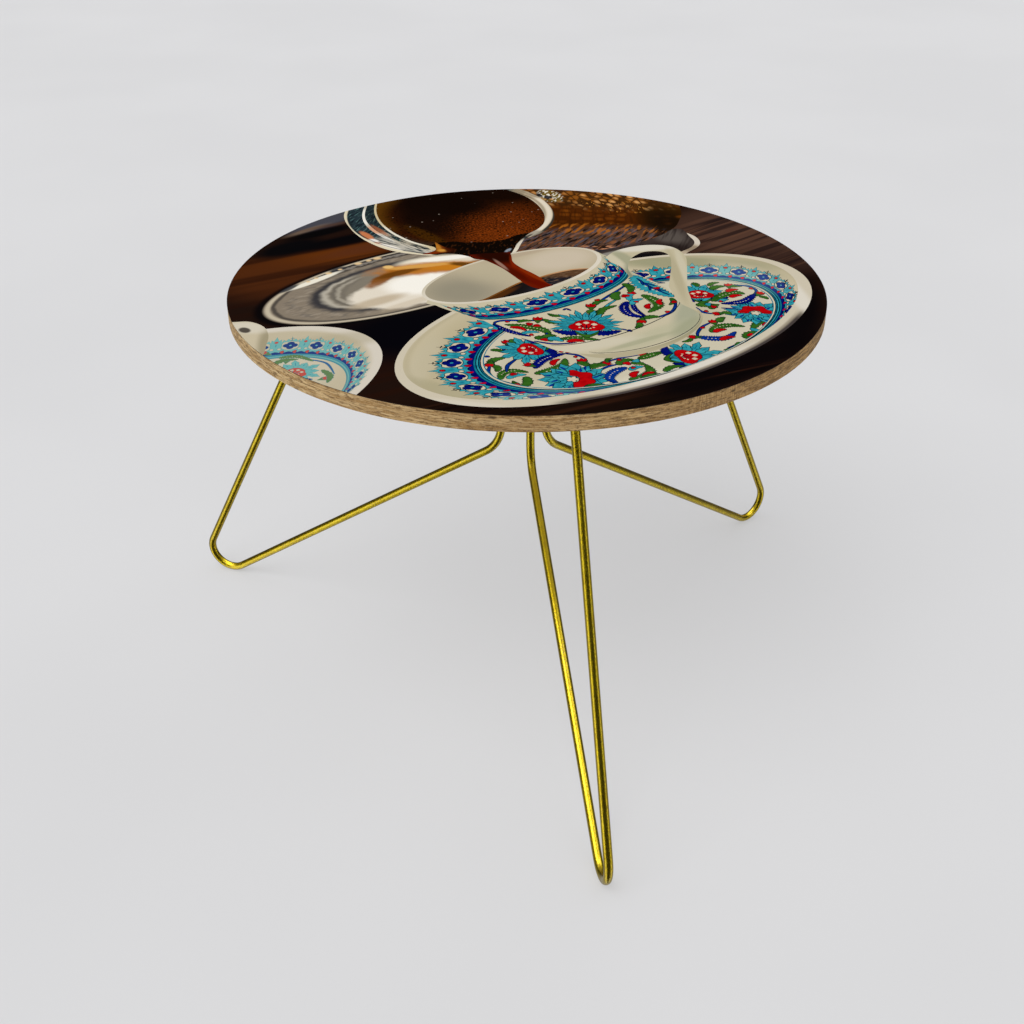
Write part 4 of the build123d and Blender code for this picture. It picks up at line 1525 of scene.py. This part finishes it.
def handle(picture):
    """The cup's handle: a smooth white loop, lit along its top."""
    paint = Print("print_handle", (192, 182, 152))
    paint.dab((214, 208, 192), (128, 99), (44, 11), 12, 0.8, 0.95)
    paint.dab((150, 152, 124), (104, 66), (8, 26), 26, 0.9, 0.7)
    paint.dab((118, 128, 106), (108, 22), (5, 26), 8, 0.9, 0.8)
    paint.dab((170, 160, 128), (154, 20), (5, 70), 2, 0.9, 0.6)
    paint.dab((206, 198, 174), (163, 40), (4, 60), 2, 0.9, 0.6)
    paint.dab((206, 198, 172), (92, 62), (6, 26), 22, 0.9, 0.7)
    outer = smooth([
        (83.7, 68), (93, 85), (105.8, 96.3), (121.6, 104.2), (135.8, 107), (150, 105),
        (159.5, 97.9), (165.8, 85.3), (169, 69.5), (168.2, 50.5), (165.8, 25.3), (163.4, 0),
        (161.9, -22), (163, -50), (166, -78),
    ])
    inner = smooth([
        (152, -60), (147, -38), (143.7, -14.2), (145.3, 0), (148.4, 22), (150.8, 41),
        (152.4, 61.6), (151.6, 75.8), (145.3, 85.3), (135.8, 87.6), (124.7, 84.5), (116.8, 75.8),
        (110.5, 64.7), (106.6, 49), (105.8, 31.6), (109, 15), (106, 12), (102.6, 25.3),
        (97.9, 41), (88.4, 53.7),
    ])
    picture.add(outer + inner, paint.done())


def print_top():
    """The decor sheet with its picture; it stands for the plain sheet in the CAD frame."""
    colours = glaze_set()
    picture = Picture()
    face = (TOP_RADIUS - SHEET_BEVEL) / MM
    picture.add(ellipse((0, 0), (face, face), count=360), table_and_tray())
    second_saucer(picture)
    copper_pot(picture)
    saucer(picture, colours)
    cup_wall(picture, colours)
    cup_opening(picture)
    stream(picture)
    handle(picture)
    sheet = bpy.data.objects.new("printed_top", sheet_mesh(picture))
    sheet.location.z = TOP_Z
    bpy.context.scene.collection.objects.link(sheet)
    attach(sheet, "root")
    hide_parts("top_decor_print")


# ---------------------------------------------------------------- floor, light and camera

# The camera stands left of the front leg, above the top, and looks down at it.
CAMERA_PLACE = Vector((-0.2404, -1.2668, 0.9454))
CAMERA_FORWARD = Vector((0.14993, 0.84229, -0.51776))
CAMERA_LENS = 47.16
FLOOR_SIZE = 200.0
FLOOR_GLOW = 1.30

# One wide soft lamp.
KEY_ENERGY = 1.17
KEY_DIRECTION = Vector((0.55, 0.45, -1.0))
KEY_ANGLE = math.radians(50)
# How bright the mirrored room is, from straight below (0) to straight above (1).
ROOM_BRIGHTNESS = ((0.0, 0.36), (0.3, 0.31), (0.44, 0.08), (0.7, 0.03), (0.93, 0.3), (0.98, 3.0))
# Brightness, azimuth and half width of what stands out in that room: a dark corner and two windows.
ROOM_OPENINGS = ((0.05, -95, 40), (1.6, 200, 12), (1.6, -33, 6))


def add_floor():
    half = FLOOR_SIZE / 2
    mesh = bpy.data.meshes.new("floor")
    corners = [(-half, -half, 0), (half, -half, 0), (half, half, 0), (-half, half, 0)]
    mesh.from_pydata(corners, [], [(0, 1, 2, 3)])
    floor = bpy.data.objects.new("floor", mesh)
    bpy.context.scene.collection.objects.link(floor)
    paint = Shader("pale_floor", 0.9, specular=0.05)
    mottle = paint.rise(paint.noise(1.5, 2.0), 0.3, 0.7)
    tone = paint.mix(mottle, rgb(150, 150, 151), rgb(152, 152, 153))
    paint.colour(tone)
    # a little light of its own keeps the shadow under the top as faint as in a studio cyclorama
    paint.feed(paint.surface.inputs["Emission Color"], tone)
    paint.surface.inputs["Emission Strength"].default_value = FLOOR_GLOW
    mesh.materials.append(paint.material)
    # the rods mirror the studio round them, not this plain floor
    floor.visible_glossy = False


class Studio(Shader):
    """The world's nodes: an even light for matt surfaces, and a room with windows for metal to mirror."""

    def __init__(self):
        world = bpy.data.worlds.new("studio")
        bpy.context.scene.world = world
        world.use_nodes = True
        self.tree = world.node_tree
        self.place = self.node("ShaderNodeTexCoord").outputs["Generated"]
        self.height = self.node("ShaderNodeSeparateXYZ", {0: self.place}).outputs["Z"]

    def bearing(self, azimuth):
        """1 towards this azimuth, 0 at right angles to it, at any height."""
        level = self.vector("MULTIPLY", self.place, (1, 1, 0))["Vector"]
        level = self.vector("NORMALIZE", level)["Vector"]
        return self.vector("DOT_PRODUCT", level, (*ray(azimuth), 0))["Value"]

    def window(self, under, brightness, azimuth, half_width):
        """A tall bright opening (or, with a low brightness, a dark one) in this direction."""
        edge = math.cos(math.radians(half_width))
        open_part = self.rise(self.bearing(azimuth), edge - 0.5 * (1 - edge), edge + 0.5 * (1 - edge))
        return self.mix(open_part, under, grey(brightness))


def add_light():
    scene = bpy.context.scene
    scene.view_settings.view_transform = "Standard"
    world = Studio()
    soft = world.ramp(world.height, (0.0, (0.42, 0.42, 0.43, 1)), (1.0, (0.8, 0.8, 0.8, 1)))
    room = world.ramp(
        world.rise(world.height, -1.0, 1.0), *((height, grey(level)) for height, level in ROOM_BRIGHTNESS)
    )
    for brightness, azimuth, half_width in ROOM_OPENINGS:
        room = world.window(room, brightness, azimuth, half_width)
    mirrored = world.node("ShaderNodeLightPath").outputs["Is Glossy Ray"]
    world.feed(world.tree.nodes["Background"].inputs["Color"], world.mix(mirrored, soft, room))
    key = bpy.data.lights.new("soft_key", "SUN")
    key.angle = KEY_ANGLE
    key.energy = KEY_ENERGY
    lamp = bpy.data.objects.new("soft_key", key)
    lamp.rotation_euler = KEY_DIRECTION.to_track_quat("-Z", "Y").to_euler()
    scene.collection.objects.link(lamp)


def add_camera():
    data = bpy.data.cameras.new("camera")
    data.lens = CAMERA_LENS
    data.sensor_width = 36.0
    camera = bpy.data.objects.new("camera", data)
    camera.location = CAMERA_PLACE
    camera.rotation_euler = CAMERA_FORWARD.to_track_quat("-Z", "Y").to_euler()
    bpy.context.scene.collection.objects.link(camera)
    bpy.context.scene.camera = camera


add_camera()
add_light()
add_floor()
finish_solids()
print_top()
